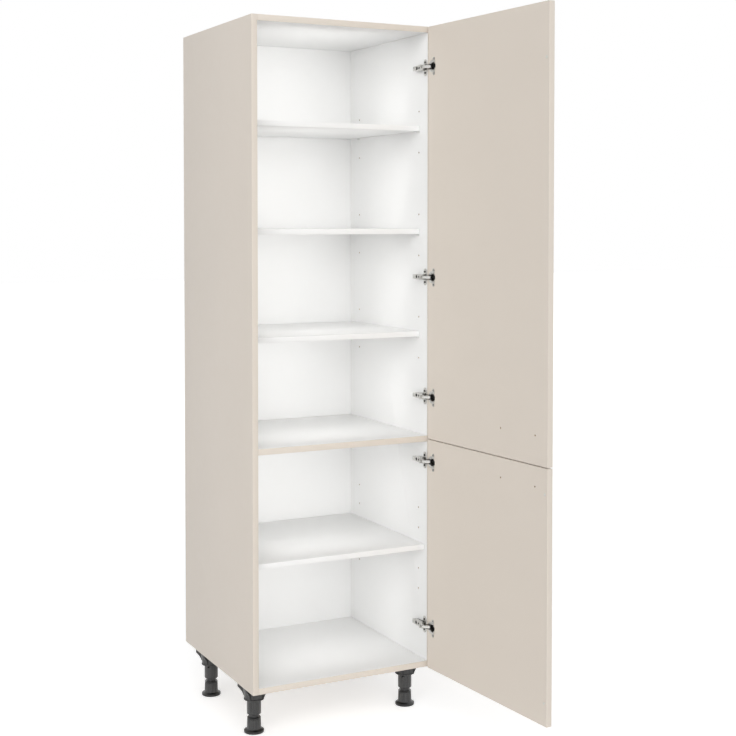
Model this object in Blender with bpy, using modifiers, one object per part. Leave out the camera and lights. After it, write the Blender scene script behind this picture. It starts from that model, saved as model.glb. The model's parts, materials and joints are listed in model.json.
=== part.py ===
"""Tall kitchen cabinet on adjustable feet, with two doors hung on its right side.

All sizes are in metres. They are written in the carcass frame: x = 0 in the middle of the cabinet,
y = 0 at the front edges of its boards and growing to the back, z = 0 at its underside. One empty carries
everything, so that the open cabinet stands on z = 0 with its bounding box centred on the origin.
Doors and hinge links are modelled closed, and the empties on their joint axes turn them open.
"""

import math

import bmesh
import bpy
from mathutils import Matrix, Vector

# General
FIT = 0.0003
OVERRUN = 0.004
WELD = 0.000005
ROUND_SIDES = 20
SMALL_SIDES = 8
HOLE_SIDES = 8
ARC_STEPS = 4
SMOOTH_ANGLE = math.radians(35)

# Carcass boards
WIDTH = 0.600
DEPTH = 0.590
HEIGHT = 1.984
BOARD = 0.018
MIDDLE_UNDERSIDE = 0.705
SIDE_FACE = WIDTH / 2 - BOARD
ROOM_FLOOR = BOARD
ROOM_TOP = HEIGHT - BOARD
MIDDLE_TOP = MIDDLE_UNDERSIDE + BOARD

# Back sheets in their grooves, and the strip that joins them behind the middle panel
BACK_THICKNESS = 0.008
BACK_SETBACK = 0.052
BACK_FACE = DEPTH - BACK_SETBACK
GROOVE_DEPTH = 0.006
GROOVE_END_GAP = 0.0005
STRIP_WALL = 0.0008
STRIP_HEIGHT = 0.014

# Shelf holes and pins
HOLE_RADIUS = 0.0025
HOLE_DEPTH = 0.012
HOLE_STEP = 0.064
FRONT_ROW = 0.056
REAR_ROW_SETBACK = 0.066
REAR_ROW = BACK_FACE - REAR_ROW_SETBACK
PIN_RADIUS = 0.0025
PIN_REACH = 0.008

# Shelves
SHELF_THICKNESS = 0.016
SHELF_SIDE_GAP = 0.001
SHELF_BACK_GAP = 0.003
SHELF_SPACING = 0.320
UPPER_SETBACK = 0.050
LOWER_SETBACK = 0.016
UPPER_MIDDLE = (MIDDLE_TOP + ROOM_TOP) / 2
LOWER_MIDDLE = (ROOM_FLOOR + MIDDLE_UNDERSIDE) / 2

# Doors
REVEAL = 0.0015
SPLIT_GAP = 0.003
DOOR_GAP = 0.002
DOOR_THICKNESS = 0.018
DOOR_EDGE_ROUNDING = 0.0008
DOOR_SPLIT = MIDDLE_UNDERSIDE + BOARD / 2
HANDLE_HOLE_RADIUS = 0.0025
HANDLE_SPACING = 0.160
HANDLE_EDGE_INSET = 0.056
UPPER_HANDLE_INSET = 0.082
LOWER_HANDLE_INSET = 0.057
BUMPER_RADIUS = 0.0045
BUMPER_TIP_RADIUS = 0.0035
BUMPER_EDGE_INSET = 0.011
UPPER_BUMPER_INSET = 0.1515
LOWER_BUMPER_TOP_INSET = 0.0725
LOWER_BUMPER_BOTTOM_INSET = 0.065

# Door opening, and the turn of each link for one degree of the door
REST_ANGLE = math.radians(93.8)
OUTER_LINK_TURN_SHARE = -0.6
INNER_LINK_TURN_SHARE = -0.501

# Hinge heights, from the ends of each door, and from the middle shelf's pins for the middle hinge
UPPER_TOP_HINGE_INSET = 0.1225
UPPER_BOTTOM_HINGE_INSET = 0.1295
UPPER_MIDDLE_HINGE_DROP = 0.1295
LOWER_TOP_HINGE_INSET = 0.0675
LOWER_BOTTOM_HINGE_INSET = 0.130

# Hinge pivots: on the arm, from the side panel's face and the carcass front, and in the cup, from the
# cup's middle and the door's inner face
OUTER_ARM_PIVOT = Vector((-0.01137, -0.00400, 0))
INNER_ARM_PIVOT = Vector((-0.02133, -0.00575, 0))
OUTER_CUP_PIVOT = Vector((0.01235, -0.00162, 0))
INNER_LINK_END = Vector((0.00881, -0.00087, 0))
PIVOT_PIN_RADIUS = 0.0009
PIVOT_PLAY = 0.0002

# Hinge cup
CUP_EDGE_DISTANCE = 0.0225
CUP_RADIUS = 0.0175
CUP_DEPTH = 0.0125
CUP_WALL = 0.0008
CUP_BORE_DEPTH = 0.0128
FLANGE_THICKNESS = 0.0012
FLANGE_RADIUS = 0.0183
FLANGE_EAR_RADIUS = 0.0055
FLANGE_SCREW_OFFSET = 0.0095
FLANGE_SCREW_SPACING = 0.045
SCREW_HEAD_RADIUS = 0.0036
SCREW_HEAD_HEIGHT = 0.0008
MOUTH_HALF_WIDTH = 0.0115
LUG_INNER = 0.0078
LUG_HALF_WIDTH = 0.0021
ARM_NOTCH_DEPTH = 0.0054
ARM_NOTCH_CLEARANCE = 0.0004
LINK_NOTCH_DEPTH = 0.0012

# Hinge links
LINK_SHEET = 0.0014
OUTER_LINK_INNER_FACE = 0.0060
OUTER_LINK_HALF_THICKNESS = 0.00105
OUTER_LINK_EYE = 0.0020
OUTER_LINK_BEND_SHARES = ((0.433, -0.116), (0.869, -0.156))
INNER_LINK_HALF_WIDTH = 0.0040
INNER_LINK_HALF_THICKNESS = 0.0008
INNER_LINK_EYE = 0.00165
INNER_LINK_TIP_RADIUS = 0.0010
INNER_LINK_BEND_SHARES = ((0.375, -0.092), (0.877, -0.013))

# Hinge arm, in plan and from the room side
ARM_SHEET = 0.0012
ARM_WEB = 0.0015
ARM_FACE = 0.0248
ARM_REAR_FACE = 0.0155
ARM_FOOT = 0.0090
ARM_REAR_FOOT = 0.0060
ARM_BEND_START = 0.006
ARM_BEND_END = 0.022
ARM_REAR = 0.067
ARM_RIM_PASS = -0.0004
ARM_NECK_START = 0.0015
ARM_NECK_END = 0.008
ARM_TAPER_START = 0.040
ARM_TIP_HALF_WIDTH = 0.0056
ARM_HALF_WIDTH = 0.0080
ARM_REAR_HALF_WIDTH = 0.0062
ARM_TIP_MARGIN = 0.0012
ARM_NOSE_MARGIN = 0.0021
ARM_SCREWS = (0.0285, 0.043)
ARM_SCREW_HOLE_RADIUS = 0.0031

# Mounting plate
PLATE_SHEET = 0.0020
PLATE_FRONT = 0.0065
PLATE_REAR = 0.060
PLATE_HALF_WIDTH = 0.0095
WING_CENTRE = 0.0135
WING_HALF_WIDTH = 0.0058
WING_REACH = 0.026
WING_SCREW_SPACING = 0.032
BLOCK_FRONT = 0.024
BLOCK_REAR = 0.0585
BLOCK_HALF_WIDTH = 0.0048

# Feet
FOOT_SIDE_INSET = 0.043
FOOT_FRONT_INSET = 0.100
FOOT_REAR_INSET = 0.123
LEG_HEIGHT = 0.145
SOCKET_PLATE = 0.078
SOCKET_PLATE_THICKNESS = 0.004
SOCKET_HEIGHT = 0.041
SOCKET_COLLAR_RADIUS = 0.0245
SOCKET_RIM_RADIUS = 0.031
SOCKET_RIM_HEIGHT = 0.0035
SOCKET_GUSSET = 0.004
SOCKET_GUSSET_REACH_AND_DROP = ((0.053, 0.013), (0.047, 0.018), (0.038, 0.028), (0.0345, 0.036))
SOCKET_PEG_RADIUS = 0.003
SOCKET_PEG_LENGTH = 0.006
SOCKET_PEG_CIRCLE = 0.0272
LEG_RADIUS = 0.0215
LEG_TOP = 0.010
LEG_CHAMFER = 0.0035
LEG_END = 0.0915
LEG_END_RADIUS = 0.0175
LEG_SCREW_HOLE_RADIUS = 0.0045
LEG_SCREW_HOLE_DROP = 0.049
LEG_TURNS = {"front_left": math.pi}
STEM_RADIUS = 0.0142
STEM_TOP = 0.030
LEG_BORE_TOP = 0.020
SLEEVE_TOP = 0.0995
SLEEVE_TOP_RADIUS = 0.0205
SLEEVE_FOOT_RADIUS = 0.0213
SLEEVE_END = 0.1345
DISC_RADIUS = 0.0303
DISC_RIM = 0.0080
DISC_EDGE = 0.0015

# Finishes: colour as seen, roughness and metallic value
CASHMERE = ((0.83, 0.79, 0.75), 0.45, 0.0)
WHITE_MELAMINE = ((0.94, 0.94, 0.935), 0.40, 0.0)
NICKEL = ((0.66, 0.65, 0.63), 0.30, 1.0)
DARK_PLASTIC = ((0.25, 0.25, 0.25), 0.45, 0.0)
SOFT_CLEAR_PLASTIC = ((0.80, 0.78, 0.74), 0.50, 0.0)


def clear_scene():
    """Remove what the scene holds and set up one collection for the parts and one for the cutters."""
    for scene_object in list(bpy.data.objects):
        bpy.data.objects.remove(scene_object, do_unlink=True)
    collections = []
    for name in ("tall_kitchen_cabinet", "cutters"):
        collection = bpy.data.collections.new(name)
        bpy.context.scene.collection.children.link(collection)
        collections.append(collection)
    return collections


PARTS, CUTTERS = clear_scene()


def linear(channel):
    """Linear value of a colour channel given as seen on screen."""
    return ((channel + 0.055) / 1.055) ** 2.4


def finish(name, look):
    """Principled material of one piece."""
    colour, roughness, metallic = look
    material = bpy.data.materials.new(name + "_finish")
    material.use_nodes = True
    shader = material.node_tree.nodes["Principled BSDF"]
    shader.inputs["Base Color"].default_value = (*[linear(channel) for channel in colour], 1)
    shader.inputs["Roughness"].default_value = roughness
    shader.inputs["Metallic"].default_value = metallic
    return material


def axis_empty(name, parent, place, turn=0.0):
    """Empty that stands on a joint's axis and turns what hangs on it about Z."""
    empty = bpy.data.objects.new(name, None)
    PARTS.objects.link(empty)
    empty.parent = parent
    empty.location = place
    empty.rotation_euler.z = turn
    return empty


def add_piece(name, mesh, look, parent, place=(0, 0, 0)):
    """One named piece of the cabinet, with its own finish."""
    piece = bpy.data.objects.new(name, mesh)
    mesh.materials.clear()
    mesh.materials.append(finish(name, look))
    PARTS.objects.link(piece)
    piece.parent = parent
    piece.location = place
    return piece


def shape(piece, tool_mesh, operation="DIFFERENCE"):
    """Cut a piece with a tool mesh made in the piece's own frame, or join the two."""
    tool = bpy.data.objects.new(f"{piece.name}_{operation.lower()}_{len(piece.modifiers)}", tool_mesh)
    CUTTERS.objects.link(tool)
    tool.parent = piece.parent
    tool.location = piece.location
    tool.hide_render = True
    tool.display_type = "WIRE"
    modifier = piece.modifiers.new(tool.name, "BOOLEAN")
    modifier.operation = operation
    modifier.object = tool
    return piece


def evaluated_mesh(source):
    """Mesh of an object with its modifiers or its curve worked out."""
    bpy.context.view_layer.update()
    depsgraph = bpy.context.evaluated_depsgraph_get()
    return bpy.data.meshes.new_from_object(source.evaluated_get(depsgraph))


def finished_mesh(base, steps):
    """Mesh of a repeated piece: a base mesh with its joins and cuts carried out once."""
    pattern = bpy.data.objects.new("pattern", base)
    CUTTERS.objects.link(pattern)
    for tool_mesh, operation in steps:
        shape(pattern, tool_mesh, operation)
    mesh = evaluated_mesh(pattern)
    for modifier in list(pattern.modifiers):
        bpy.data.objects.remove(modifier.object, do_unlink=True)
    bpy.data.objects.remove(pattern, do_unlink=True)
    bm = bmesh.new()
    bm.from_mesh(mesh)
    bmesh.ops.remove_doubles(bm, verts=bm.verts, dist=WELD)
    mesh = mesh_from(bm)
    smooth(mesh)
    return mesh


def smooth(mesh):
    """Shade the round faces smooth and keep the real edges."""
    mesh.shade_smooth()
    mesh.set_sharp_from_angle(angle=SMOOTH_ANGLE)


def mesh_from(bm):
    """New mesh from a finished bmesh."""
    mesh = bpy.data.meshes.new("mesh")
    bm.to_mesh(mesh)
    bm.free()
    return mesh


def box(low, high):
    """Closed box between two corners."""
    low, high = Vector(low), Vector(high)
    bm = bmesh.new()
    bmesh.ops.create_cube(bm, size=1)
    bmesh.ops.scale(bm, vec=high - low, verts=bm.verts)
    bmesh.ops.translate(bm, vec=(high + low) / 2, verts=bm.verts)
    return mesh_from(bm)


def rod(start, end, radius, sides, end_radius=None):
    """Closed cylinder or cone between two points."""
    start, end = Vector(start), Vector(end)
    turn = Vector((0, 0, 1)).rotation_difference(end - start).to_matrix().to_4x4()
    bm = bmesh.new()
    bmesh.ops.create_cone(
        bm,
        cap_ends=True,
        segments=sides,
        radius1=radius,
        radius2=radius if end_radius is None else end_radius,
        depth=(end - start).length,
        matrix=Matrix.Translation((start + end) / 2) @ turn,
    )
    return mesh_from(bm)


def group(meshes):
    """Several separate meshes in one, for use as a single tool."""
    bm = bmesh.new()
    for mesh in meshes:
        bm.from_mesh(mesh)
    return mesh_from(bm)


def flat(outline, low, high, normal="Z"):
    """Plate with a given outline, from a filled and extruded curve.

    The outline's two coordinates are X and Y for a normal of Z, and Y and Z for a normal of X.
    """
    curve = bpy.data.curves.new("outline", "CURVE")
    curve.dimensions = "2D"
    curve.fill_mode = "BOTH"
    curve.extrude = (high - low) / 2
    spline = curve.splines.new("POLY")
    spline.points.add(len(outline) - 1)
    for point, place in zip(spline.points, outline):
        point.co = (place[0], place[1], 0, 1)
    spline.use_cyclic_u = True
    guide = bpy.data.objects.new("outline", curve)
    CUTTERS.objects.link(guide)
    middle = Matrix.Translation((0, 0, (high + low) / 2))
    standing = Matrix(((0, 0, 1, 0), (1, 0, 0, 0), (0, 1, 0, 0), (0, 0, 0, 1)))
    guide.matrix_world = standing @ middle if normal == "X" else middle
    mesh = evaluated_mesh(guide)
    mesh.transform(guide.matrix_world)
    bpy.data.objects.remove(guide, do_unlink=True)
    bm = bmesh.new()
    bm.from_mesh(mesh)
    bmesh.ops.remove_doubles(bm, verts=bm.verts, dist=WELD)
    bmesh.ops.recalc_face_normals(bm, faces=bm.faces)
    return mesh_from(bm)


def arc(centre, radius, start, end, steps):
    """Points on an arc, from one angle to another."""
    points = []
    for step in range(steps + 1):
        angle = start + (end - start) * step / steps
        points.append((centre[0] + radius * math.cos(angle), centre[1] + radius * math.sin(angle)))
    return points


def stadium(low, high, radius, across):
    """Outline with round ends on two points that share the second coordinate."""
    quarter = math.pi / 2
    head = arc((high, across), radius, -quarter, quarter, ARC_STEPS)
    return head + arc((low, across), radius, quarter, 3 * quarter, ARC_STEPS)


def strap(middle_line, half_thickness):
    """Outline of a bent strap with square ends, from the points of its middle line."""
    directions = [(after - before).normalized() for before, after in zip(middle_line, middle_line[1:])]
    before, after = [directions[0], *directions], [*directions, directions[-1]]
    left, right = [], []
    for point, coming, going in zip(middle_line, before, after):
        bisector = (coming + going).normalized()
        normal = Vector((-bisector.y, bisector.x, 0)) * (half_thickness / bisector.dot(coming))
        left.append((point + normal)[:2])
        right.append((point - normal)[:2])
    return right + left[::-1]


def bend(start, end, shares):
    """Middle line from start to end, with bends given as shares of its length, along and aside."""
    along = end - start
    aside = Vector((-along.y, along.x, 0))
    return [start, *[start + along * share + aside * offset for share, offset in shares], end]


def turned(profile, sides):
    """Closed turned piece: a profile of radius and height, from the top down its outer side."""
    bm = bmesh.new()
    vertices = [bm.verts.new((radius, 0, height)) for radius, height in profile]
    for upper, lower in zip(vertices, vertices[1:]):
        bm.edges.new((upper, lower))
    pattern = bpy.data.objects.new("profile", mesh_from(bm))
    CUTTERS.objects.link(pattern)
    screw = pattern.modifiers.new("turn", "SCREW")
    screw.steps = screw.render_steps = sides
    screw.use_merge_vertices = True
    screw.merge_threshold = WELD
    mesh = evaluated_mesh(pattern)
    bpy.data.objects.remove(pattern, do_unlink=True)
    return mesh


def turned_open(place, turn):
    """Where a point fixed to the closed door lies once the door is open."""
    pivot = arm_place(OUTER_ARM_PIVOT)
    cup_pivot = door_place(OUTER_CUP_PIVOT)
    link_turn = Matrix.Rotation(OUTER_LINK_TURN_SHARE * turn, 3, "Z")
    door_turn = Matrix.Rotation((1 - OUTER_LINK_TURN_SHARE) * turn, 3, "Z")
    on_link = cup_pivot + door_turn @ (place - cup_pivot)
    return pivot + link_turn @ (on_link - pivot)


def arm_place(pivot):
    """Carcass place of a point that is given from the side panel's face."""
    return Vector((SIDE_FACE, 0, 0)) + pivot


def door_place(pivot):
    """Carcass place, with the door closed, of a point that is given from the middle of a hinge cup."""
    return Vector((WIDTH / 2 - REVEAL - CUP_EDGE_DISTANCE, -DOOR_GAP, 0)) + pivot


def frame_offset():
    """Shift that centres the open cabinet on the origin, with its feet on z = 0."""
    inner, outer = -DOOR_GAP, -DOOR_GAP - DOOR_THICKNESS
    edge = WIDTH / 2 - REVEAL
    corners = [Vector((side * edge, face, 0)) for side in (-1, 1) for face in (inner, outer)]
    opened = [turned_open(corner, REST_ANGLE) for corner in corners]
    low_x, high_x = -WIDTH / 2, max(WIDTH / 2, *[corner.x for corner in opened])
    low_y, high_y = min(corner.y for corner in opened), DEPTH
    return Vector((-(low_x + high_x) / 2, -(low_y + high_y) / 2, LEG_HEIGHT))


def hole_heights():
    """Heights of the open shelf holes and of the holes that hold a pin."""
    upper = [UPPER_MIDDLE + level * SHELF_SPACING for level in (-1, 0, 1)]
    pins = [*upper, LOWER_MIDDLE]
    holes = [height + side * HOLE_STEP for height in upper for side in (-1, 1)]
    holes += [LOWER_MIDDLE + step * HOLE_STEP for step in (-2, -1, 1, 2)]
    return holes, pins


def side_panel(name, side, root):
    """Side panel with its shelf holes, its pins and the groove for the back."""
    face = side * SIDE_FACE
    inward = -side
    panel = add_piece(
        name,
        box((min(face, side * WIDTH / 2), 0, 0), (max(face, side * WIDTH / 2), DEPTH, HEIGHT)),
        CASHMERE,
        root,
    )
    holes, pins = hole_heights()
    rows = (FRONT_ROW, REAR_ROW)
    inside = face - inward * HOLE_DEPTH
    tip, mouth = face + inward * PIN_REACH, face + inward * OVERRUN
    pin_rods = [
        rod((inside, row, z), (tip, row, z), PIN_RADIUS, HOLE_SIDES)
        for row in rows
        for z in pins
    ]
    shape(panel, group(pin_rods), "UNION")
    hole_rods = [
        rod((inside, row, z), (mouth, row, z), HOLE_RADIUS, HOLE_SIDES)
        for row in rows
        for z in holes
    ]
    shape(panel, group(hole_rods))
    groove_low, groove_high = sorted((face - inward * GROOVE_DEPTH, face + inward * OVERRUN))
    groove = box(
        (groove_low, BACK_FACE - FIT, -OVERRUN),
        (groove_high, BACK_FACE + BACK_THICKNESS + FIT, HEIGHT + OVERRUN),
    )
    return shape(panel, groove)


def cross_panel(name, underside, look, root, groove_side=0):
    """Board between the side panels; a groove side of 1 is its upper face, of -1 its lower face."""
    reach = SIDE_FACE - FIT
    rear = DEPTH if groove_side else BACK_FACE - STRIP_WALL - 2 * FIT
    panel = add_piece(name, box((-reach, 0, underside), (reach, rear, underside + BOARD)), look, root)
    if groove_side:
        face = underside + BOARD if groove_side > 0 else underside
        low, high = sorted((face - groove_side * GROOVE_DEPTH, face + groove_side * OVERRUN))
        groove = box(
            (-WIDTH, BACK_FACE - FIT, low), (WIDTH, BACK_FACE + BACK_THICKNESS + FIT, high)
        )
        shape(panel, groove)
    return panel


def back(root):
    """Two back sheets and the strip that grips both behind the middle panel."""
    reach = SIDE_FACE + GROOVE_DEPTH - GROOVE_END_GAP
    split = DOOR_SPLIT
    half_web = STRIP_WALL / 2 + FIT
    lower = ROOM_FLOOR - GROOVE_DEPTH + GROOVE_END_GAP
    upper = ROOM_TOP + GROOVE_DEPTH - GROOVE_END_GAP
    rear = BACK_FACE + BACK_THICKNESS
    for name, low, high in (
        ("back_sheet_lower", lower, split - half_web),
        ("back_sheet_upper", split + half_web, upper),
    ):
        add_piece(name, box((-reach, BACK_FACE, low), (reach, rear, high)), WHITE_MELAMINE, root)
    slot_reach = SIDE_FACE - FIT
    strip = box(
        (-slot_reach, BACK_FACE - STRIP_WALL - FIT, split - STRIP_HEIGHT / 2),
        (slot_reach, rear + STRIP_WALL + FIT, split + STRIP_HEIGHT / 2),
    )
    strip_piece = add_piece("back_joining_strip", strip, WHITE_MELAMINE, root)
    for side in (-1, 1):
        low, high = sorted((side * STRIP_WALL / 2, side * STRIP_HEIGHT))
        shape(strip_piece, box((-WIDTH, BACK_FACE - FIT, split + low), (WIDTH, rear + FIT, split + high)))


def shelf(name, pin_height, setback, root):
    """Adjustable shelf that lies on four pins."""
    underside = pin_height + PIN_RADIUS + FIT
    reach = SIDE_FACE - SHELF_SIDE_GAP
    low = (-reach, setback, underside)
    high = (reach, BACK_FACE - SHELF_BACK_GAP, underside + SHELF_THICKNESS)
    return add_piece(name, box(low, high), WHITE_MELAMINE, root)


def carcass(root):
    """All the fixed boards, the back and the shelves."""
    side_panel("left_side_panel", -1, root)
    side_panel("right_side_panel", 1, root)
    cross_panel("bottom_panel", 0, CASHMERE, root, groove_side=1)
    cross_panel("top_panel", ROOM_TOP, CASHMERE, root, groove_side=-1)
    cross_panel("middle_panel", MIDDLE_UNDERSIDE, CASHMERE, root)
    back(root)
    for level in (-1, 0, 1):
        shelf(f"upper_shelf_{level + 2}", UPPER_MIDDLE + level * SHELF_SPACING, UPPER_SETBACK, root)
    shelf("lower_shelf", LOWER_MIDDLE, LOWER_SETBACK, root)


def door(name, low, high, hinge_heights, handle_height, axis):
    """Door slab, closed, with its cup bores and the two through holes for a handle."""
    edge = WIDTH / 2 - REVEAL
    inner, outer = -DOOR_GAP, -DOOR_GAP - DOOR_THICKNESS
    place = -door_place(OUTER_CUP_PIVOT)
    slab = add_piece(name, box((-edge, outer, low), (edge, inner, high)), CASHMERE, axis, place)
    rounding = slab.modifiers.new("edge_rounding", "BEVEL")
    rounding.width = DOOR_EDGE_ROUNDING
    cup = door_place(Vector((0, 0, 0)))
    bores = [
        rod(
            (cup.x, inner + OVERRUN, height),
            (cup.x, inner - CUP_BORE_DEPTH, height),
            CUP_RADIUS + FIT,
            ROUND_SIDES,
        )
        for height in hinge_heights
    ]
    shape(slab, group(bores))
    free_hole = -edge + HANDLE_EDGE_INSET
    handle_holes = [
        rod(
            (x, inner + OVERRUN, handle_height),
            (x, outer - OVERRUN, handle_height),
            HANDLE_HOLE_RADIUS,
            HOLE_SIDES,
        )
        for x in (free_hole, free_hole + HANDLE_SPACING)
    ]
    return shape(slab, group(handle_holes))


def bumper(name, height, axis):
    """Soft bumper on the door's inner face that meets the left side panel's front edge."""
    x = -WIDTH / 2 + REVEAL + BUMPER_EDGE_INSET
    mesh = rod(
        (x, -DOOR_GAP + FIT, height), (x, -FIT, height), BUMPER_RADIUS, SMALL_SIDES, BUMPER_TIP_RADIUS
    )
    smooth(mesh)
    return add_piece(name, mesh, SOFT_CLEAR_PLASTIC, axis, -door_place(OUTER_CUP_PIVOT))


def arm_widths(inset, front, rear):
    """Outline of the hinge arm seen from the room, drawn in by an inset, between two ends."""
    stations = [
        (front, ARM_TIP_HALF_WIDTH),
        (ARM_NECK_START, ARM_TIP_HALF_WIDTH),
        (ARM_NECK_END, ARM_HALF_WIDTH),
        (ARM_TAPER_START, ARM_HALF_WIDTH),
        (rear, ARM_REAR_HALF_WIDTH),
    ]
    upper = [(y, half - inset) for y, half in stations]
    return upper + [(y, -half) for y, half in reversed(upper)]


def arm_face(inset, front):
    """Points of the arm's face in plan, from its rear over the bend to its front, under an inset."""
    return [
        (-ARM_REAR_FACE + inset, ARM_REAR),
        (-ARM_REAR_FACE + inset, ARM_BEND_END),
        (-ARM_FACE + inset, ARM_BEND_START),
        (-ARM_FACE + inset, front),
    ]


def arm_mesh():
    """Hinge arm: a bent channel whose narrow tip carries both pivot pins into the cup."""
    inner, outer = INNER_ARM_PIVOT, OUTER_ARM_PIVOT
    front = inner.y - ARM_NOSE_MARGIN
    body = flat(arm_widths(0, front, ARM_REAR), -ARM_FACE, -ARM_REAR_FOOT, "X")
    plan = (
        arc(inner, ARM_TIP_MARGIN, -math.pi, -math.pi / 2, ARC_STEPS)
        + arc(outer, ARM_NOSE_MARGIN, -math.pi / 2, 0, ARC_STEPS)
        + [(-ARM_FOOT, ARM_NECK_END), (-ARM_REAR_FOOT, ARM_BEND_END), (-ARM_REAR_FOOT, ARM_REAR)]
        + arm_face(0, ARM_RIM_PASS)
        + [(inner.x - ARM_TIP_MARGIN, ARM_RIM_PASS)]
    )
    inside = flat(arm_widths(ARM_SHEET, front - OVERRUN, ARM_REAR - ARM_SHEET), -ARM_FACE, 0, "X")
    under_face = [(0, front - OVERRUN), (0, ARM_REAR)] + arm_face(ARM_WEB, front - OVERRUN)
    channel = finished_mesh(inside, [(flat(under_face, -WING_REACH, WING_REACH), "INTERSECT")])
    holes = [
        rod(
            (-ARM_REAR_FACE - OVERRUN, y, 0),
            (-ARM_REAR_FACE + OVERRUN, y, 0),
            ARM_SCREW_HOLE_RADIUS,
            SMALL_SIDES,
        )
        for y in ARM_SCREWS
    ]
    pin_reach = OUTER_LINK_INNER_FACE + LINK_SHEET + PIVOT_PLAY
    outer_pin = rod(
        outer - Vector((0, 0, pin_reach)), outer + Vector((0, 0, pin_reach)), PIVOT_PIN_RADIUS, SMALL_SIDES
    )
    half = ARM_TIP_HALF_WIDTH - ARM_SHEET / 2
    inner_pin = rod(
        inner - Vector((0, 0, half)), inner + Vector((0, 0, half)), PIVOT_PIN_RADIUS, SMALL_SIDES
    )
    return finished_mesh(
        body,
        [
            (flat(plan, -WING_REACH, WING_REACH), "INTERSECT"),
            (channel, "DIFFERENCE"),
            (group(holes), "DIFFERENCE"),
            (outer_pin, "UNION"),
            (inner_pin, "UNION"),
        ],
    )


def mounting_plate_mesh():
    """Cross plate screwed to the side panel, with the block that the arm is clipped over."""
    sole = flat(
        [
            (PLATE_FRONT, -PLATE_HALF_WIDTH),
            (PLATE_REAR, -ARM_REAR_HALF_WIDTH),
            (PLATE_REAR, ARM_REAR_HALF_WIDTH),
            (PLATE_FRONT, PLATE_HALF_WIDTH),
        ],
        -PLATE_SHEET,
        -FIT,
        "X",
    )
    tip = WING_REACH - WING_HALF_WIDTH
    wings = [
        (WING_CENTRE + across, along)
        for along, across in stadium(-tip, tip, WING_HALF_WIDTH, 0)
    ]
    steps = [(flat(wings, -PLATE_SHEET, -FIT, "X"), "UNION")]
    top = ARM_REAR_FACE - ARM_WEB - FIT
    block = box((-top, BLOCK_FRONT, -BLOCK_HALF_WIDTH), (-PLATE_SHEET / 2, BLOCK_REAR, BLOCK_HALF_WIDTH))
    steps.append((block, "UNION"))
    head_top = PLATE_SHEET + 2 * SCREW_HEAD_HEIGHT
    for side in (-1, 1):
        z = side * WING_SCREW_SPACING / 2
        head = rod(
            (-PLATE_SHEET / 2, WING_CENTRE, z), (-head_top, WING_CENTRE, z), SCREW_HEAD_RADIUS, SMALL_SIDES
        )
        steps.append((head, "UNION"))
    for y in ARM_SCREWS:
        radius = ARM_SCREW_HOLE_RADIUS - FIT
        head = rod((-top + FIT, y, 0), (-ARM_REAR_FACE + FIT, y, 0), radius, SMALL_SIDES)
        steps.append((head, "UNION"))
    return finished_mesh(sole, steps)


def outer_link_mesh():
    """Outer link: two bent side plates joined by the pin that turns in the cup's lugs."""
    start = OUTER_ARM_PIVOT
    end = door_place(OUTER_CUP_PIVOT) - Vector((SIDE_FACE, 0, 0))
    outline = strap(bend(start, end, OUTER_LINK_BEND_SHARES), OUTER_LINK_HALF_THICKNESS)
    near, far = OUTER_LINK_INNER_FACE, OUTER_LINK_INNER_FACE + LINK_SHEET
    reach = LUG_INNER + LINK_SHEET
    steps = []
    for side in (-1, 1):
        low, high = sorted((side * near, side * far))
        steps.append((flat(outline, low, high), "UNION"))
        for eye in (start, end):
            bottom, top = eye + Vector((0, 0, low)), eye + Vector((0, 0, high))
            steps.append((rod(bottom, top, OUTER_LINK_EYE, SMALL_SIDES), "UNION"))
    half = Vector((0, 0, reach))
    bore = rod(start - half, start + half, PIVOT_PIN_RADIUS + PIVOT_PLAY, SMALL_SIDES)
    steps.append((bore, "DIFFERENCE"))
    pin = rod(end - half, end + half, PIVOT_PIN_RADIUS, SMALL_SIDES)
    return finished_mesh(pin, steps)


def inner_link_mesh():
    """Inner link: a bent strap that turns on the arm's second pin and reaches into the cup."""
    start = INNER_ARM_PIVOT
    end = door_place(INNER_LINK_END) - Vector((SIDE_FACE, 0, 0))
    half = Vector((0, 0, INNER_LINK_HALF_WIDTH))
    outline = strap(bend(start, end, INNER_LINK_BEND_SHARES), INNER_LINK_HALF_THICKNESS)
    bore = rod(start - 2 * half, start + 2 * half, PIVOT_PIN_RADIUS + PIVOT_PLAY, SMALL_SIDES)
    return finished_mesh(
        flat(outline, -INNER_LINK_HALF_WIDTH, INNER_LINK_HALF_WIDTH),
        [
            (rod(start - half, start + half, INNER_LINK_EYE, SMALL_SIDES), "UNION"),
            (rod(end - half, end + half, INNER_LINK_TIP_RADIUS, SMALL_SIDES), "UNION"),
            (bore, "DIFFERENCE"),
        ],
    )


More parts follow.
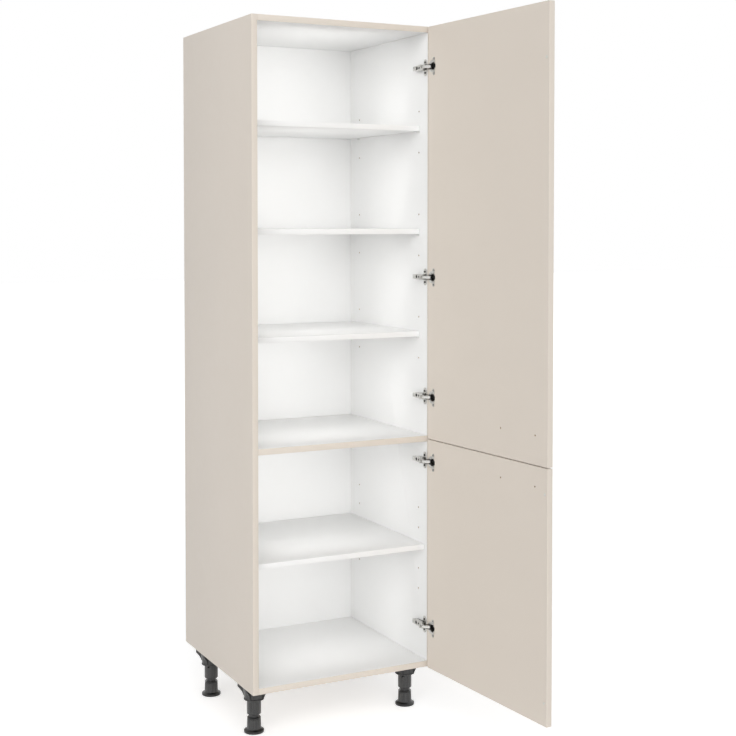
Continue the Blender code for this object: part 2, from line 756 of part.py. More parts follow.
def cup_mesh():
    """Hinge cup with its screwed flange, the lugs of the outer link's pin and the notch for the arm."""
    depth = Vector((0, -CUP_DEPTH, 0))
    flange = Vector((0, FLANGE_THICKNESS, 0))
    lift = Vector((0, FIT, 0))
    body = rod(depth, lift + flange / 2, CUP_RADIUS, ROUND_SIDES)
    ring = rod(lift, lift + flange, FLANGE_RADIUS, ROUND_SIDES)
    ear_x = -FLANGE_SCREW_OFFSET
    half = FLANGE_SCREW_SPACING / 2
    ears = flat(stadium(-half, half, FLANGE_EAR_RADIUS, ear_x), lift.y, lift.y + FLANGE_THICKNESS)
    ears.transform(Matrix(((0, 1, 0, 0), (0, 0, 1, 0), (1, 0, 0, 0), (0, 0, 0, 1))))
    steps = [(ring, "UNION"), (ears, "UNION")]
    for side in (-1, 1):
        head_start = Vector((ear_x, lift.y + FLANGE_THICKNESS / 2, side * half))
        head_end = head_start + Vector((0, FLANGE_THICKNESS / 2 + SCREW_HEAD_HEIGHT, 0))
        steps.append((rod(head_start, head_end, SCREW_HEAD_RADIUS, SMALL_SIDES), "UNION"))
    pivot = OUTER_CUP_PIVOT
    lugs = []
    for side in (-1, 1):
        low, high = sorted((side * LUG_INNER, side * CUP_RADIUS))
        lug_low = (pivot.x - LUG_HALF_WIDTH, -CUP_DEPTH, low)
        lug_high = (pivot.x + LUG_HALF_WIDTH, lift.y + FLANGE_THICKNESS, high)
        lugs.append(box(lug_low, lug_high))
    mouth_end = flange + Vector((0, OVERRUN, 0))
    mouth = rod(depth + Vector((0, CUP_WALL, 0)), mouth_end, CUP_RADIUS - CUP_WALL, ROUND_SIDES)
    slot = box((-CUP_RADIUS, -CUP_DEPTH, -MOUTH_HALF_WIDTH), (CUP_RADIUS, CUP_DEPTH, MOUTH_HALF_WIDTH))
    opening = finished_mesh(mouth, [(slot, "INTERSECT"), (group(lugs), "DIFFERENCE")])
    steps.append((opening, "DIFFERENCE"))
    reach = Vector((0, 0, LUG_INNER + LINK_SHEET + FIT))
    bore = rod(pivot - reach, pivot + reach, PIVOT_PIN_RADIUS + PIVOT_PLAY, SMALL_SIDES)
    steps.append((bore, "DIFFERENCE"))
    notch_half = ARM_TIP_HALF_WIDTH + ARM_NOTCH_CLEARANCE
    notch = box(
        (-CUP_RADIUS - FLANGE_RADIUS, -ARM_NOTCH_DEPTH, -notch_half),
        (-CUP_RADIUS / 2, FLANGE_THICKNESS + OVERRUN, notch_half),
    )
    steps.append((notch, "DIFFERENCE"))
    link_half = OUTER_LINK_INNER_FACE + LINK_SHEET + FIT
    link_notch = box(
        (pivot.x + LUG_HALF_WIDTH - FIT, -LINK_NOTCH_DEPTH, -link_half),
        (CUP_RADIUS + FLANGE_RADIUS, FLANGE_THICKNESS + OVERRUN, link_half),
    )
    steps.append((link_notch, "DIFFERENCE"))
    return finished_mesh(body, steps)


def hinge(name, height, meshes, root, link_axes, door_axis):
    """The five pieces of one concealed hinge."""
    outer_axis, inner_axis = link_axes
    level = Vector((0, 0, height))
    corner = Vector((SIDE_FACE, 0, 0))
    cup = door_place(Vector((0, 0, 0)))
    for piece, parent, place in (
        ("mounting_plate", root, corner),
        ("arm", root, corner),
        ("outer_link", outer_axis, -OUTER_ARM_PIVOT),
        ("inner_link", inner_axis, -INNER_ARM_PIVOT),
        ("cup", door_axis, cup - door_place(OUTER_CUP_PIVOT)),
    ):
        add_piece(f"{name}_{piece}", meshes[piece].copy(), NICKEL, parent, place + level)


def hung_door(name, low, high, hinges, handle_height, bumpers, meshes, root):
    """A door on its hinges: the axes of both links, the links themselves and what rides on the door."""
    outer_pivot, inner_pivot = arm_place(OUTER_ARM_PIVOT), arm_place(INNER_ARM_PIVOT)
    cup_pivot = door_place(OUTER_CUP_PIVOT)
    outer_turn = OUTER_LINK_TURN_SHARE * REST_ANGLE
    outer_axis = axis_empty(f"{name}_outer_link_axis", root, outer_pivot, outer_turn)
    inner_turn = INNER_LINK_TURN_SHARE * REST_ANGLE
    inner_axis = axis_empty(f"{name}_inner_link_axis", root, inner_pivot, inner_turn)
    door_turn = REST_ANGLE - outer_turn
    door_axis = axis_empty(f"{name}_door_axis", outer_axis, cup_pivot - outer_pivot, door_turn)
    door(f"{name}_door", low, high, [height for _, height in hinges], handle_height, door_axis)
    for place, height in hinges:
        hinge(f"{name}_hinge_{place}", height, meshes, root, (outer_axis, inner_axis), door_axis)
    for place, height in bumpers:
        bumper(f"{name}_bumper_{place}", height, door_axis)


def doors(root):
    """Both doors with their hinges, handle holes and bumpers."""
    meshes = {
        "mounting_plate": mounting_plate_mesh(),
        "arm": arm_mesh(),
        "outer_link": outer_link_mesh(),
        "inner_link": inner_link_mesh(),
        "cup": cup_mesh(),
    }
    low, high = DOOR_SPLIT + SPLIT_GAP / 2, HEIGHT - REVEAL
    upper_hinges = (
        ("top", high - UPPER_TOP_HINGE_INSET),
        ("middle", UPPER_MIDDLE - UPPER_MIDDLE_HINGE_DROP),
        ("bottom", low + UPPER_BOTTOM_HINGE_INSET),
    )
    upper_bumpers = (("top", high - UPPER_BUMPER_INSET),)
    hung_door("upper", low, high, upper_hinges, low + UPPER_HANDLE_INSET, upper_bumpers, meshes, root)
    high = DOOR_SPLIT - SPLIT_GAP / 2
    lower_hinges = (("top", high - LOWER_TOP_HINGE_INSET), ("bottom", LOWER_BOTTOM_HINGE_INSET))
    lower_bumpers = (("top", high - LOWER_BUMPER_TOP_INSET), ("bottom", LOWER_BUMPER_BOTTOM_INSET))
    hung_door("lower", 0, high, lower_hinges, high - LOWER_HANDLE_INSET, lower_bumpers, meshes, root)


def socket_mesh():
    """Socket under the bottom panel: a square plate, a gusseted collar and a rim with four pegs."""
    half = SOCKET_PLATE / 2
    plate = box((-half, -half, -SOCKET_PLATE_THICKNESS), (half, half, -FIT))
    top = Vector((0, 0, -SOCKET_PLATE_THICKNESS / 2))
    bottom = Vector((0, 0, -SOCKET_HEIGHT))
    rim = bottom + Vector((0, 0, SOCKET_RIM_HEIGHT))
    inside_rim = Vector((0, 0, SOCKET_RIM_HEIGHT / 2))
    steps = [
        (rod(top, bottom, SOCKET_COLLAR_RADIUS, ROUND_SIDES), "UNION"),
        (rod(rim, bottom, SOCKET_RIM_RADIUS, ROUND_SIDES), "UNION"),
    ]
    flare = [
        (SOCKET_GUSSET_REACH_AND_DROP[0][0], top.z),
        *[(reach, -drop) for reach, drop in SOCKET_GUSSET_REACH_AND_DROP],
        (SOCKET_RIM_RADIUS - FIT, rim.z - FIT),
    ]
    profile = [(-reach, height) for reach, height in flare] + flare[::-1]
    for quarter in (1, 3):
        gusset = flat(profile, -SOCKET_GUSSET / 2, SOCKET_GUSSET / 2, "X")
        gusset.transform(Matrix.Rotation(quarter * math.pi / 4, 4, "Z"))
        steps.append((gusset, "UNION"))
    for quarter in (1, 3, 5, 7):
        turn = Matrix.Rotation(quarter * math.pi / 4, 3, "Z")
        place = turn @ Vector((SOCKET_PEG_CIRCLE, 0, 0)) + bottom
        end = place - Vector((0, 0, SOCKET_PEG_LENGTH))
        steps.append((rod(place + inside_rim, end, SOCKET_PEG_RADIUS, HOLE_SIDES), "UNION"))
    bore_end = bottom - Vector((0, 0, OVERRUN))
    bore = rod((0, 0, -LEG_TOP + FIT), bore_end, LEG_RADIUS + FIT, ROUND_SIDES)
    steps.append((bore, "DIFFERENCE"))
    return finished_mesh(plate, steps)


def leg_mesh():
    """Leg: a hollow tube with a chamfered end and a screw hole through its wall."""
    tube = turned(
        [
            (0, -LEG_TOP),
            (LEG_RADIUS, -LEG_TOP),
            (LEG_RADIUS, -LEG_END + LEG_CHAMFER),
            (LEG_END_RADIUS, -LEG_END),
            (STEM_RADIUS + FIT, -LEG_END),
            (STEM_RADIUS + FIT, -LEG_BORE_TOP),
            (0, -LEG_BORE_TOP),
        ],
        ROUND_SIDES,
    )
    outward = Vector((-math.cos(math.pi / 4), -math.sin(math.pi / 4), 0))
    level = Vector((0, 0, -LEG_SCREW_HOLE_DROP))
    hole = rod(
        level + outward * STEM_RADIUS,
        level + outward * (LEG_RADIUS + OVERRUN),
        LEG_SCREW_HOLE_RADIUS,
        SMALL_SIDES,
    )
    return finished_mesh(tube, [(hole, "DIFFERENCE")])


def foot_mesh():
    """Foot: the stem inside the leg, the sleeve that is gripped to turn it, and the disc it stands on."""
    return finished_mesh(
        turned(
            [
                (0, -STEM_TOP),
                (STEM_RADIUS, -STEM_TOP),
                (STEM_RADIUS, -SLEEVE_TOP),
                (SLEEVE_TOP_RADIUS, -SLEEVE_TOP),
                (SLEEVE_FOOT_RADIUS, -SLEEVE_END),
                (DISC_RADIUS - DISC_EDGE, -LEG_HEIGHT + DISC_RIM),
                (DISC_RADIUS, -LEG_HEIGHT + DISC_RIM - DISC_EDGE),
                (DISC_RADIUS, -LEG_HEIGHT + DISC_EDGE),
                (DISC_RADIUS - DISC_EDGE, -LEG_HEIGHT),
                (0, -LEG_HEIGHT),
            ],
            ROUND_SIDES,
        ),
        [],
    )


def feet(root):
    """Four adjustable feet under the bottom panel."""
    meshes = {"socket": socket_mesh(), "leg": leg_mesh(), "foot": foot_mesh()}
    side = WIDTH / 2 - FOOT_SIDE_INSET
    for end, y in (("front", FOOT_FRONT_INSET), ("rear", DEPTH - FOOT_REAR_INSET)):
        for hand, x in (("left", -side), ("right", side)):
            for name, mesh in meshes.items():
                piece = add_piece(f"{end}_{hand}_{name}", mesh.copy(), DARK_PLASTIC, root, (x, y, 0))
                if name == "leg":
                    piece.rotation_euler.z = LEG_TURNS.get(f"{end}_{hand}", 0)


def main():
    """Build the cabinet around the empty that carries its frame."""
    root = axis_empty("cabinet_frame", None, frame_offset())
    carcass(root)
    doors(root)
    feet(root)


main()
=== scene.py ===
"""Looks of a tall kitchen cabinet: melamine boards, hung doors, concealed hinges and adjustable feet.

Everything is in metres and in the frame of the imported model. New pieces are modelled where they lie at
rest, with their objects at the origin. Sizes that the model's joints or nodes hold are read from it.
"""

import json
import logging
import math
from collections.abc import Callable
from dataclasses import dataclass, field
from enum import Enum

import bmesh
import bpy
from mathutils import Matrix, Vector


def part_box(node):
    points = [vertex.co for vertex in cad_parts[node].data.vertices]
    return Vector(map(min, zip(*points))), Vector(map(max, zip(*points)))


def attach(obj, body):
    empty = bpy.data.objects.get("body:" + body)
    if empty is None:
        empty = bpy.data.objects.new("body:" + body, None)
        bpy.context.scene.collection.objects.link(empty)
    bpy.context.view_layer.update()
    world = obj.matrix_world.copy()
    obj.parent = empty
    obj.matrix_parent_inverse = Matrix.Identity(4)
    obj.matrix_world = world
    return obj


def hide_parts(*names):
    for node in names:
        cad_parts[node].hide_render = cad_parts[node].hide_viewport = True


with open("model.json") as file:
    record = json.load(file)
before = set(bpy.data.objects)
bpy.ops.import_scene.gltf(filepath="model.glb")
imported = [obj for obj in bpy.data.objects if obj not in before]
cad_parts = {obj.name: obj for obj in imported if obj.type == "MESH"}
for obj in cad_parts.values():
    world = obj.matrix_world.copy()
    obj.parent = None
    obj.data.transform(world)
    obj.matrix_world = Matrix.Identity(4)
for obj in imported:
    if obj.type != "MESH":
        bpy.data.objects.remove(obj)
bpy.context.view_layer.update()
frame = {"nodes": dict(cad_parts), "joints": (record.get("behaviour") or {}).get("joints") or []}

LOG = logging.getLogger("cabinet")

# Room between pieces that touch, width that is welded, and reach of a cutter past the surface
FIT, WELD, OVERRUN = 0.0003, 0.000002, 0.004
# Least angles of an edge that shades sharp, of one that is rounded, and of one that is kept
SMOOTH_ANGLE, EDGE_ANGLE, FLAT_ANGLE = math.radians(32), math.radians(30), math.radians(1)
# Stretches in a half circle, and how much of a rim's rounding its middle point is set in
ROUND_STEPS, RIM_SHARE = 16, 0.3
FULL_TURN, QUARTER = 2 * math.pi, math.pi / 2
# Least part of a face's normal along an axis, where it looks that way and where it only leans
FACING, LEANING = 0.5, 0.2
NOISE_RANGE = (0.3, 0.7)
Z_TO_Y = Matrix.Rotation(-QUARTER, 4, "X")

Mesh = bpy.types.Mesh
Socket = bpy.types.NodeSocket
Outline = list[tuple[float, float]]
Colour = tuple[float, float, float]
Point = Vector | tuple[float, float, float]
Chooser = Callable[[Vector, Vector], "Finish"]


class Cut(Enum):
    """What a tool does to the mesh that it meets."""

    JOIN = "UNION"
    REMOVE = "DIFFERENCE"
    KEEP_COMMON = "INTERSECT"


class Slot(Enum):
    """Material slots of the record."""

    CASHMERE = "cashmere_melamine"
    WHITE = "white_melamine"
    NICKEL = "nickel_plated_steel"
    DARK = "dark_plastic"
    CLEAR = "soft_clear_plastic"


class Hand(Enum):
    """Side of the cabinet, with the sign of its X direction."""

    LEFT = -1
    RIGHT = 1


def linear(colour: Colour) -> tuple[float, float, float, float]:
    """Linear colour with alpha, from a colour as it is seen on screen."""
    return (*[((channel + 0.055) / 1.055) ** 2.4 for channel in colour], 1.0)


def seen_or_mirrored(tree: bpy.types.NodeTree) -> Socket:
    """Build a socket that is 1 for what the camera sees, directly or in metal or glass, and 0 for light.

    Args:
        tree: the node tree that it is built in.

    Returns:
        The socket.
    """
    rays = tree.nodes.new("ShaderNodeLightPath")
    seen = rays.outputs["Is Camera Ray"]
    for kind in ("Is Glossy Ray", "Is Transmission Ray"):
        either = tree.nodes.new("ShaderNodeMath")
        either.operation = "MAXIMUM"
        tree.links.new(seen, either.inputs[0])
        tree.links.new(rays.outputs[kind], either.inputs[1])
        seen = either.outputs[0]
    return seen


class Graph:
    """Node tree of one material, with short ways to add what the finishes need."""

    def __init__(self, name: str) -> None:
        """Start a material that holds a Principled shader and Object coordinates."""
        self.material = bpy.data.materials.new(name)
        self.material.use_nodes = True
        self.tree = self.material.node_tree
        self.shader = self.tree.nodes["Principled BSDF"]
        self.place = self.tree.nodes.new("ShaderNodeTexCoord").outputs["Object"]

    def feed(self, socket: Socket, value: object) -> None:
        """Link a socket to an output, or set it to a value.

        Args:
            socket: the input.
            value: an output socket or a plain value.
        """
        if isinstance(value, Socket):
            self.tree.links.new(value, socket)
        else:
            socket.default_value = value

    def add(self, kind: str, inputs: dict | None = None, **settings: object) -> bpy.types.Node:
        """Add a node.

        Args:
            kind: Blender's name of the node type.
            inputs: values or output sockets for its inputs, by name or index.
            settings: attributes of the node.

        Returns:
            The new node.
        """
        node = self.tree.nodes.new(kind)
        for name, value in settings.items():
            setattr(node, name, value)
        for name, value in (inputs or {}).items():
            self.feed(node.inputs[name], value)
        return node

    def stretched(self, scale: tuple[float, float, float]) -> Socket:
        """Object coordinates scaled per axis, so that a pattern is drawn out along one of them."""
        return self.add("ShaderNodeMapping", {"Vector": self.place, "Scale": scale}).outputs["Vector"]

    def noise(
        self, scale: float, detail: float, place: Socket | None = None
    ) -> Socket:
        """Smooth noise with a number of features per metre."""
        inputs = {"Vector": place or self.place, "Scale": scale, "Detail": detail}
        return self.add("ShaderNodeTexNoise", inputs).outputs["Fac"]

    def spread(self, value: Socket, low: float, high: float) -> Socket:
        """Map a noise value to a range.

        Args:
            value: the noise.
            low: what its troughs become.
            high: what its crests become.

        Returns:
            The mapped value.
        """
        inputs = {"Value": value, "To Min": low, "To Max": high}
        inputs["From Min"], inputs["From Max"] = NOISE_RANGE
        return self.add("ShaderNodeMapRange", inputs).outputs["Result"]

    def blend(self, share: Socket, first: tuple, second: tuple) -> Socket:
        """Mix two colours by a share that varies over the surface."""
        return self.add("ShaderNodeMix", {0: share, 6: first, 7: second}, data_type="RGBA").outputs[2]

    def tone(
        self, pattern: Socket, colour: Colour, share: float
    ) -> Socket:
        """Mix a colour and a dimmer share of it by a noise pattern.

        Args:
            pattern: the noise.
            colour: the colour as it is seen on screen.
            share: how bright the dimmer one is.

        Returns:
            The mixed colour.
        """
        full = linear(colour)
        dim = (*[channel * share for channel in full[:3]], 1.0)
        return self.blend(self.spread(pattern, 0, 1), dim, full)

    def relief(self, height: Socket, strength: float, distance: float) -> Socket:
        """Bump the surface by a height pattern."""
        inputs = {"Height": height, "Strength": strength, "Distance": distance}
        return self.add("ShaderNodeBump", inputs).outputs["Normal"]

    def finish(self, **inputs: object) -> bpy.types.Material:
        """Set or link the shader's inputs.

        Args:
            inputs: values or sockets by the inputs' names, with underscores for spaces.

        Returns:
            The finished material.
        """
        for name, value in inputs.items():
            self.feed(self.shader.inputs[name.replace("_", " ")], value)
        return self.material


@dataclass(frozen=True)
class Finish:
    """A surface finish, made into a material the first time it is asked for."""

    name: str

    def graph(self) -> bpy.types.Material:
        """Build the material. Each kind of finish has its own."""
        raise NotImplementedError

    def material(self) -> bpy.types.Material:
        """Material of this finish, shared by all pieces that have it."""
        return bpy.data.materials.get(self.name) or self.graph()


@dataclass(frozen=True)
class Melamine(Finish):
    """Matt melamine foil with a fine pearl texture and a faint unevenness of tone."""

    colour: Colour
    roughness: float = 0.46
    pearl_per_metre: float = 1500
    pearl_height: float = 0.00005
    pearl_strength: float = 0.35
    clouds_per_metre: float = 5
    cloud_share: float = 0.985
    gloss_per_metre: float = 45
    gloss_swing: float = 0.03

    def graph(self) -> bpy.types.Material:
        """Tone from wide noise, gloss from middling noise, pearl bump from fine noise."""
        graph = Graph(self.name)
        tone = graph.tone(graph.noise(self.clouds_per_metre, 3), self.colour, self.cloud_share)
        swing = self.gloss_swing
        gloss = graph.spread(
            graph.noise(self.gloss_per_metre, 3), self.roughness - swing, self.roughness + swing
        )
        pearl = graph.relief(graph.noise(self.pearl_per_metre, 2), self.pearl_strength, self.pearl_height)
        return graph.finish(Base_Color=tone, Roughness=gloss, Normal=pearl)


@dataclass(frozen=True)
class Chipboard(Finish):
    """Raw chipboard core, as it shows on uncovered edges and in drilled holes."""

    light: Colour = (0.80, 0.68, 0.52)
    dark: Colour = (0.52, 0.39, 0.26)
    roughness: float = 0.85
    flakes_per_metre: float = 420
    flake_stretch: tuple[float, float, float] = (1.0, 1.0, 0.35)
    crumbs_per_metre: float = 1400
    crumb_height: float = 0.0003
    crumb_strength: float = 0.8

    def graph(self) -> bpy.types.Material:
        """Flakes of unlike brown from cells, with a crumbly bump."""
        graph = Graph(self.name)
        place = graph.stretched(self.flake_stretch)
        inputs = {"Vector": place, "Scale": self.flakes_per_metre, "Randomness": 1.0}
        cells = graph.add("ShaderNodeTexVoronoi", inputs).outputs["Color"]
        grey = graph.add("ShaderNodeSeparateColor", {"Color": cells}).outputs[0]
        flakes = graph.blend(grey, linear(self.dark), linear(self.light))
        crumbs = graph.relief(graph.noise(self.crumbs_per_metre, 4), self.crumb_strength, self.crumb_height)
        return graph.finish(Base_Color=flakes, Roughness=self.roughness, Normal=crumbs)


@dataclass(frozen=True)
class PlatedSteel(Finish):
    """Nickel-plated steel with fine press marks."""

    colour: Colour
    roughness: float = 0.26
    clouds_per_metre: float = 260
    cloud_share: float = 0.93
    marks_per_metre: float = 700
    mark_stretch: tuple[float, float, float] = (1.0, 0.12, 1.0)
    mark_height: float = 0.00004
    mark_strength: float = 0.25
    gloss_swing: tuple[float, float] = (-0.05, 0.07)

    def graph(self) -> bpy.types.Material:
        """Gloss and bump from noise drawn out along the sheet, tone from cloudy noise."""
        graph = Graph(self.name)
        cloudy = graph.tone(graph.noise(self.clouds_per_metre, 3), self.colour, self.cloud_share)
        marks = graph.noise(self.marks_per_metre, 3, graph.stretched(self.mark_stretch))
        gloss = graph.spread(marks, *[self.roughness + swing for swing in self.gloss_swing])
        fine = graph.relief(marks, self.mark_strength, self.mark_height)
        return graph.finish(Base_Color=cloudy, Metallic=1.0, Roughness=gloss, Normal=fine)


@dataclass(frozen=True)
class MouldedPlastic(Finish):
    """Injection-moulded plastic with a spark-eroded grain."""

    colour: Colour
    roughness: float = 0.42
    coat: float = 0.0
    subsurface: float = 0.0
    subsurface_reach: float = 0.002
    draw_marks: float = 0.82
    marks_per_metre: float = 170
    mark_stretch: tuple[float, float, float] = (1.0, 1.0, 0.12)
    grain_per_metre: float = 2600
    grain_height: float = 0.00008
    grain_strength: float = 0.3
    gloss_swing: tuple[float, float] = (-0.06, 0.08)

    def graph(self) -> bpy.types.Material:
        """Tone from noise drawn out along the mould's opening, grain bump and gloss from fine noise."""
        graph = Graph(self.name)
        marks = graph.noise(self.marks_per_metre, 2, graph.stretched(self.mark_stretch))
        grain = graph.noise(self.grain_per_metre, 2)
        return graph.finish(
            Base_Color=graph.tone(marks, self.colour, self.draw_marks),
            Roughness=graph.spread(grain, *[self.roughness + swing for swing in self.gloss_swing]),
            Normal=graph.relief(grain, self.grain_strength, self.grain_height),
            Coat_Weight=self.coat,
            Subsurface_Weight=self.subsurface,
            Subsurface_Scale=self.subsurface_reach,
        )


@dataclass(frozen=True)
class StudioFloor(Finish):
    """Pale floor that reads as white to the camera and still takes the cabinet's shadow."""

    colour: Colour = (0.96, 0.96, 0.96)
    shade: Colour = (0.95, 0.95, 0.95)
    clouds_per_metre: float = 3
    roughness: float = 0.9
    specular: float = 0.1
    lift: float = 0.50

    def graph(self) -> bpy.types.Material:
        """Diffuse surface, with a lift that only camera and mirror rays see."""
        graph = Graph(self.name)
        seen = seen_or_mirrored(graph.tree)
        lifted = graph.add("ShaderNodeMath", {0: seen, 1: self.lift}, operation="MULTIPLY")
        clouds = graph.noise(self.clouds_per_metre, 2)
        return graph.finish(
            Base_Color=graph.blend(clouds, linear(self.colour), linear(self.shade)),
            Roughness=self.roughness,
            Specular_IOR_Level=self.specular,
            Emission_Color=(1, 1, 1, 1),
            Emission_Strength=lifted.outputs[0],
        )


CASHMERE = Melamine("cashmere_foil", (0.880, 0.842, 0.797))
CASHMERE_BAND = Melamine("cashmere_edge_band", (0.885, 0.848, 0.803), roughness=0.38, pearl_per_metre=900)
WHITE = Melamine("white_foil", (0.975, 0.975, 0.972), roughness=0.42)
WHITE_BAND = Melamine("white_edge_band", (0.965, 0.965, 0.962), roughness=0.36, pearl_per_metre=900)
GLUE_LINE = Melamine("glue_line", (0.62, 0.57, 0.52), roughness=0.6)
CORE = Chipboard("chipboard_core")
NICKEL = PlatedSteel("nickel_plate", (0.84, 0.835, 0.82))
LINK_STEEL = PlatedSteel("link_steel", (0.34, 0.335, 0.32), 0.36)
# Dark steel of the arm's setting screws and the pivot pins; in screw recesses and on the sides of screw heads
# it is painted shade.
DARK_STEEL_AND_SHADE = PlatedSteel("screw_recess_steel", (0.13, 0.13, 0.13), 0.50)
# Dark damper housing deep in each cup; its darkness is also painted shade that falls deep in the cup.
CUP_HOUSING_AND_SHADE = MouldedPlastic("damper_housing", (0.10, 0.10, 0.09), roughness=0.5)
DARK = MouldedPlastic("dark_foot_plastic", (0.26, 0.26, 0.26), roughness=0.30, draw_marks=0.55)
DARK_PAD = MouldedPlastic("foot_disc_plastic", (0.10, 0.10, 0.10), roughness=0.30, coat=0.2)
WHITE_PLASTIC = MouldedPlastic("white_pin_plastic", (0.93, 0.93, 0.92), roughness=0.35)
CLEAR = MouldedPlastic("bumper_plastic", (0.90, 0.89, 0.86), roughness=0.28, subsurface=0.4)
BOARD_FINISHES = (CASHMERE, CASHMERE_BAND, WHITE, WHITE_BAND, GLUE_LINE, CORE)
STEEL_FINISHES = (NICKEL, LINK_STEEL, DARK_STEEL_AND_SHADE)
PLASTIC_FINISHES = (CUP_HOUSING_AND_SHADE, DARK, DARK_PAD, WHITE_PLASTIC, CLEAR)
FINISHES = BOARD_FINISHES + STEEL_FINISHES + PLASTIC_FINISHES


def mesh_from(bm: bmesh.types.BMesh) -> Mesh:
    """Make a mesh from a bmesh, which is freed.

    Args:
        bm: the finished bmesh.

    Returns:
        The new mesh.
    """
    mesh = bpy.data.meshes.new("mesh")
    bm.to_mesh(mesh)
    bm.free()
    return mesh


def shells(*meshes: Mesh) -> bmesh.types.BMesh:
    """Start a bmesh from meshes.

    Args:
        meshes: what it holds, each as its own shell.

    Returns:
        The new bmesh.
    """
    bm = bmesh.new()
    for mesh in meshes:
        bm.from_mesh(mesh)
    return bm


def joined(meshes: list[Mesh]) -> Mesh:
    """Several meshes in one, as separate shells."""
    return mesh_from(shells(*meshes))


def placed(name: str, data: bpy.types.ID) -> bpy.types.Object:
    """Put a mesh, lamp or camera into the scene.

    Args:
        name: the object's name.
        data: what it shows.

    Returns:
        The new object.
    """
    item = bpy.data.objects.new(name, data)
    bpy.context.scene.collection.objects.link(item)
    return item


def corner_places(element: bmesh.types.BMVert | bmesh.types.BMEdge | bmesh.types.BMFace) -> list:
    """Places of an element's corners in welding widths, sorted."""
    corners = [element] if isinstance(element, bmesh.types.BMVert) else element.verts
    return sorted([round(part / WELD) for part in corner.co] for corner in corners)


def put_in_order(bm: bmesh.types.BMesh) -> None:
    """Sort a bmesh by place, so that what follows a Boolean gives the same mesh in each run.

    Args:
        bm: the bmesh, whose vertices, edges and faces are renumbered.
    """
    for elements in (bm.verts, bm.edges, bm.faces):
        ranks = {element: rank for rank, element in enumerate(sorted(elements, key=corner_places))}
        elements.sort(key=ranks.get)


def round_edges(bm: bmesh.types.BMesh, edges: list, width: float, segments: int) -> None:
    """Round edges of a bmesh.

    Args:
        bm: the bmesh.
        edges: those of its edges that are rounded.
        width: radius of the rounding.
        segments: faces across it.
    """
    bmesh.ops.bevel(
        bm,
        geom=edges,
        offset=width,
        segments=segments,
        profile=0.5,
        affect="EDGES",
        clamp_overlap=True,
        material=-1,
    )


def block(low: Point, high: Point, rounding: float = 0.0, segments: int = 2) -> Mesh:
    """Closed box between two corners.

    Args:
        low: lowest corner.
        high: highest corner.
        rounding: radius of all its edges, or zero for sharp ones.
        segments: faces across each rounding.

    Returns:
        The mesh.
    """
    low, high = Vector(low), Vector(high)
    bm = bmesh.new()
    bmesh.ops.create_cube(bm, size=1)
    bmesh.ops.scale(bm, vec=high - low, verts=bm.verts)
    bmesh.ops.translate(bm, vec=(high + low) / 2, verts=bm.verts)
    if rounding:
        round_edges(bm, bm.edges[:], rounding, segments)
    return mesh_from(bm)


def bar(x: tuple[float, float], y: tuple[float, float], half: float) -> Mesh:
    """Block between two X and two Y that reaches as far above the origin's level as below it."""
    return block((x[0], y[0], -half), (x[1], y[1], half))


def sliced(mesh: Mesh, planes: list[tuple[Point, Point]]) -> Mesh:
    """Divide the faces of a mesh along planes and keep both sides.

    Args:
        mesh: the mesh.
        planes: a point and a normal for each plane.

    Returns:
        The divided mesh.
    """
    bm = shells(mesh)
    for point, normal in planes:
        geometry = bm.verts[:] + bm.edges[:] + bm.faces[:]
        bmesh.ops.bisect_plane(bm, geom=geometry, plane_co=point, plane_no=normal, dist=WELD)
    return mesh_from(bm)


def rod(
    start: Point, end: Point, radius: float, sides: int, end_radius: float | None = None
) -> Mesh:
    """Closed cylinder or cone between two points.

    Args:
        start: middle of its first end.
        end: middle of its second end.
        radius: radius at the first end.
        sides: number of faces round it.
        end_radius: radius at the second end, if it isn't the same.

    Returns:
        The mesh.
    """
    start, end = Vector(start), Vector(end)
    turn = Vector((0, 0, 1)).rotation_difference(end - start).to_matrix().to_4x4()
    bm = bmesh.new()
    bmesh.ops.create_cone(
        bm,
        cap_ends=True,
        segments=sides,
        radius1=radius,
        radius2=radius if end_radius is None else end_radius,
        depth=(end - start).length,
        matrix=Matrix.Translation((start + end) / 2) @ turn,
    )
    return mesh_from(bm)


class Plane(Enum):
    """Plane in which a flat outline is drawn, as the matrix that lays X and Y into it."""

    PLAN = Matrix.Identity(4)
    SIDE = Matrix(((0, 0, 1, 0), (1, 0, 0, 0), (0, 1, 0, 0), (0, 0, 0, 1)))


def plate(outline: Outline, low: float, high: float, plane: Plane = Plane.PLAN) -> Mesh:
    """Extruded outline.

    Args:
        outline: points, X and Y for Plane.PLAN and Y and Z for Plane.SIDE.
        low: where the plate starts, across the plane.
        high: where it ends.
        plane: the plane that the outline lies in.

    Returns:
        The closed mesh.
    """
    bm = bmesh.new()
    face = bm.faces.new([bm.verts.new((x, y, low)) for x, y in outline])
    grown = bmesh.ops.extrude_face_region(bm, geom=[face])
    raised = [item for item in grown["geom"] if isinstance(item, bmesh.types.BMVert)]
    bmesh.ops.translate(bm, vec=(0, 0, high - low), verts=raised)
    bmesh.ops.recalc_face_normals(bm, faces=bm.faces)
    bmesh.ops.transform(bm, matrix=plane.value, verts=bm.verts)
    return mesh_from(bm)


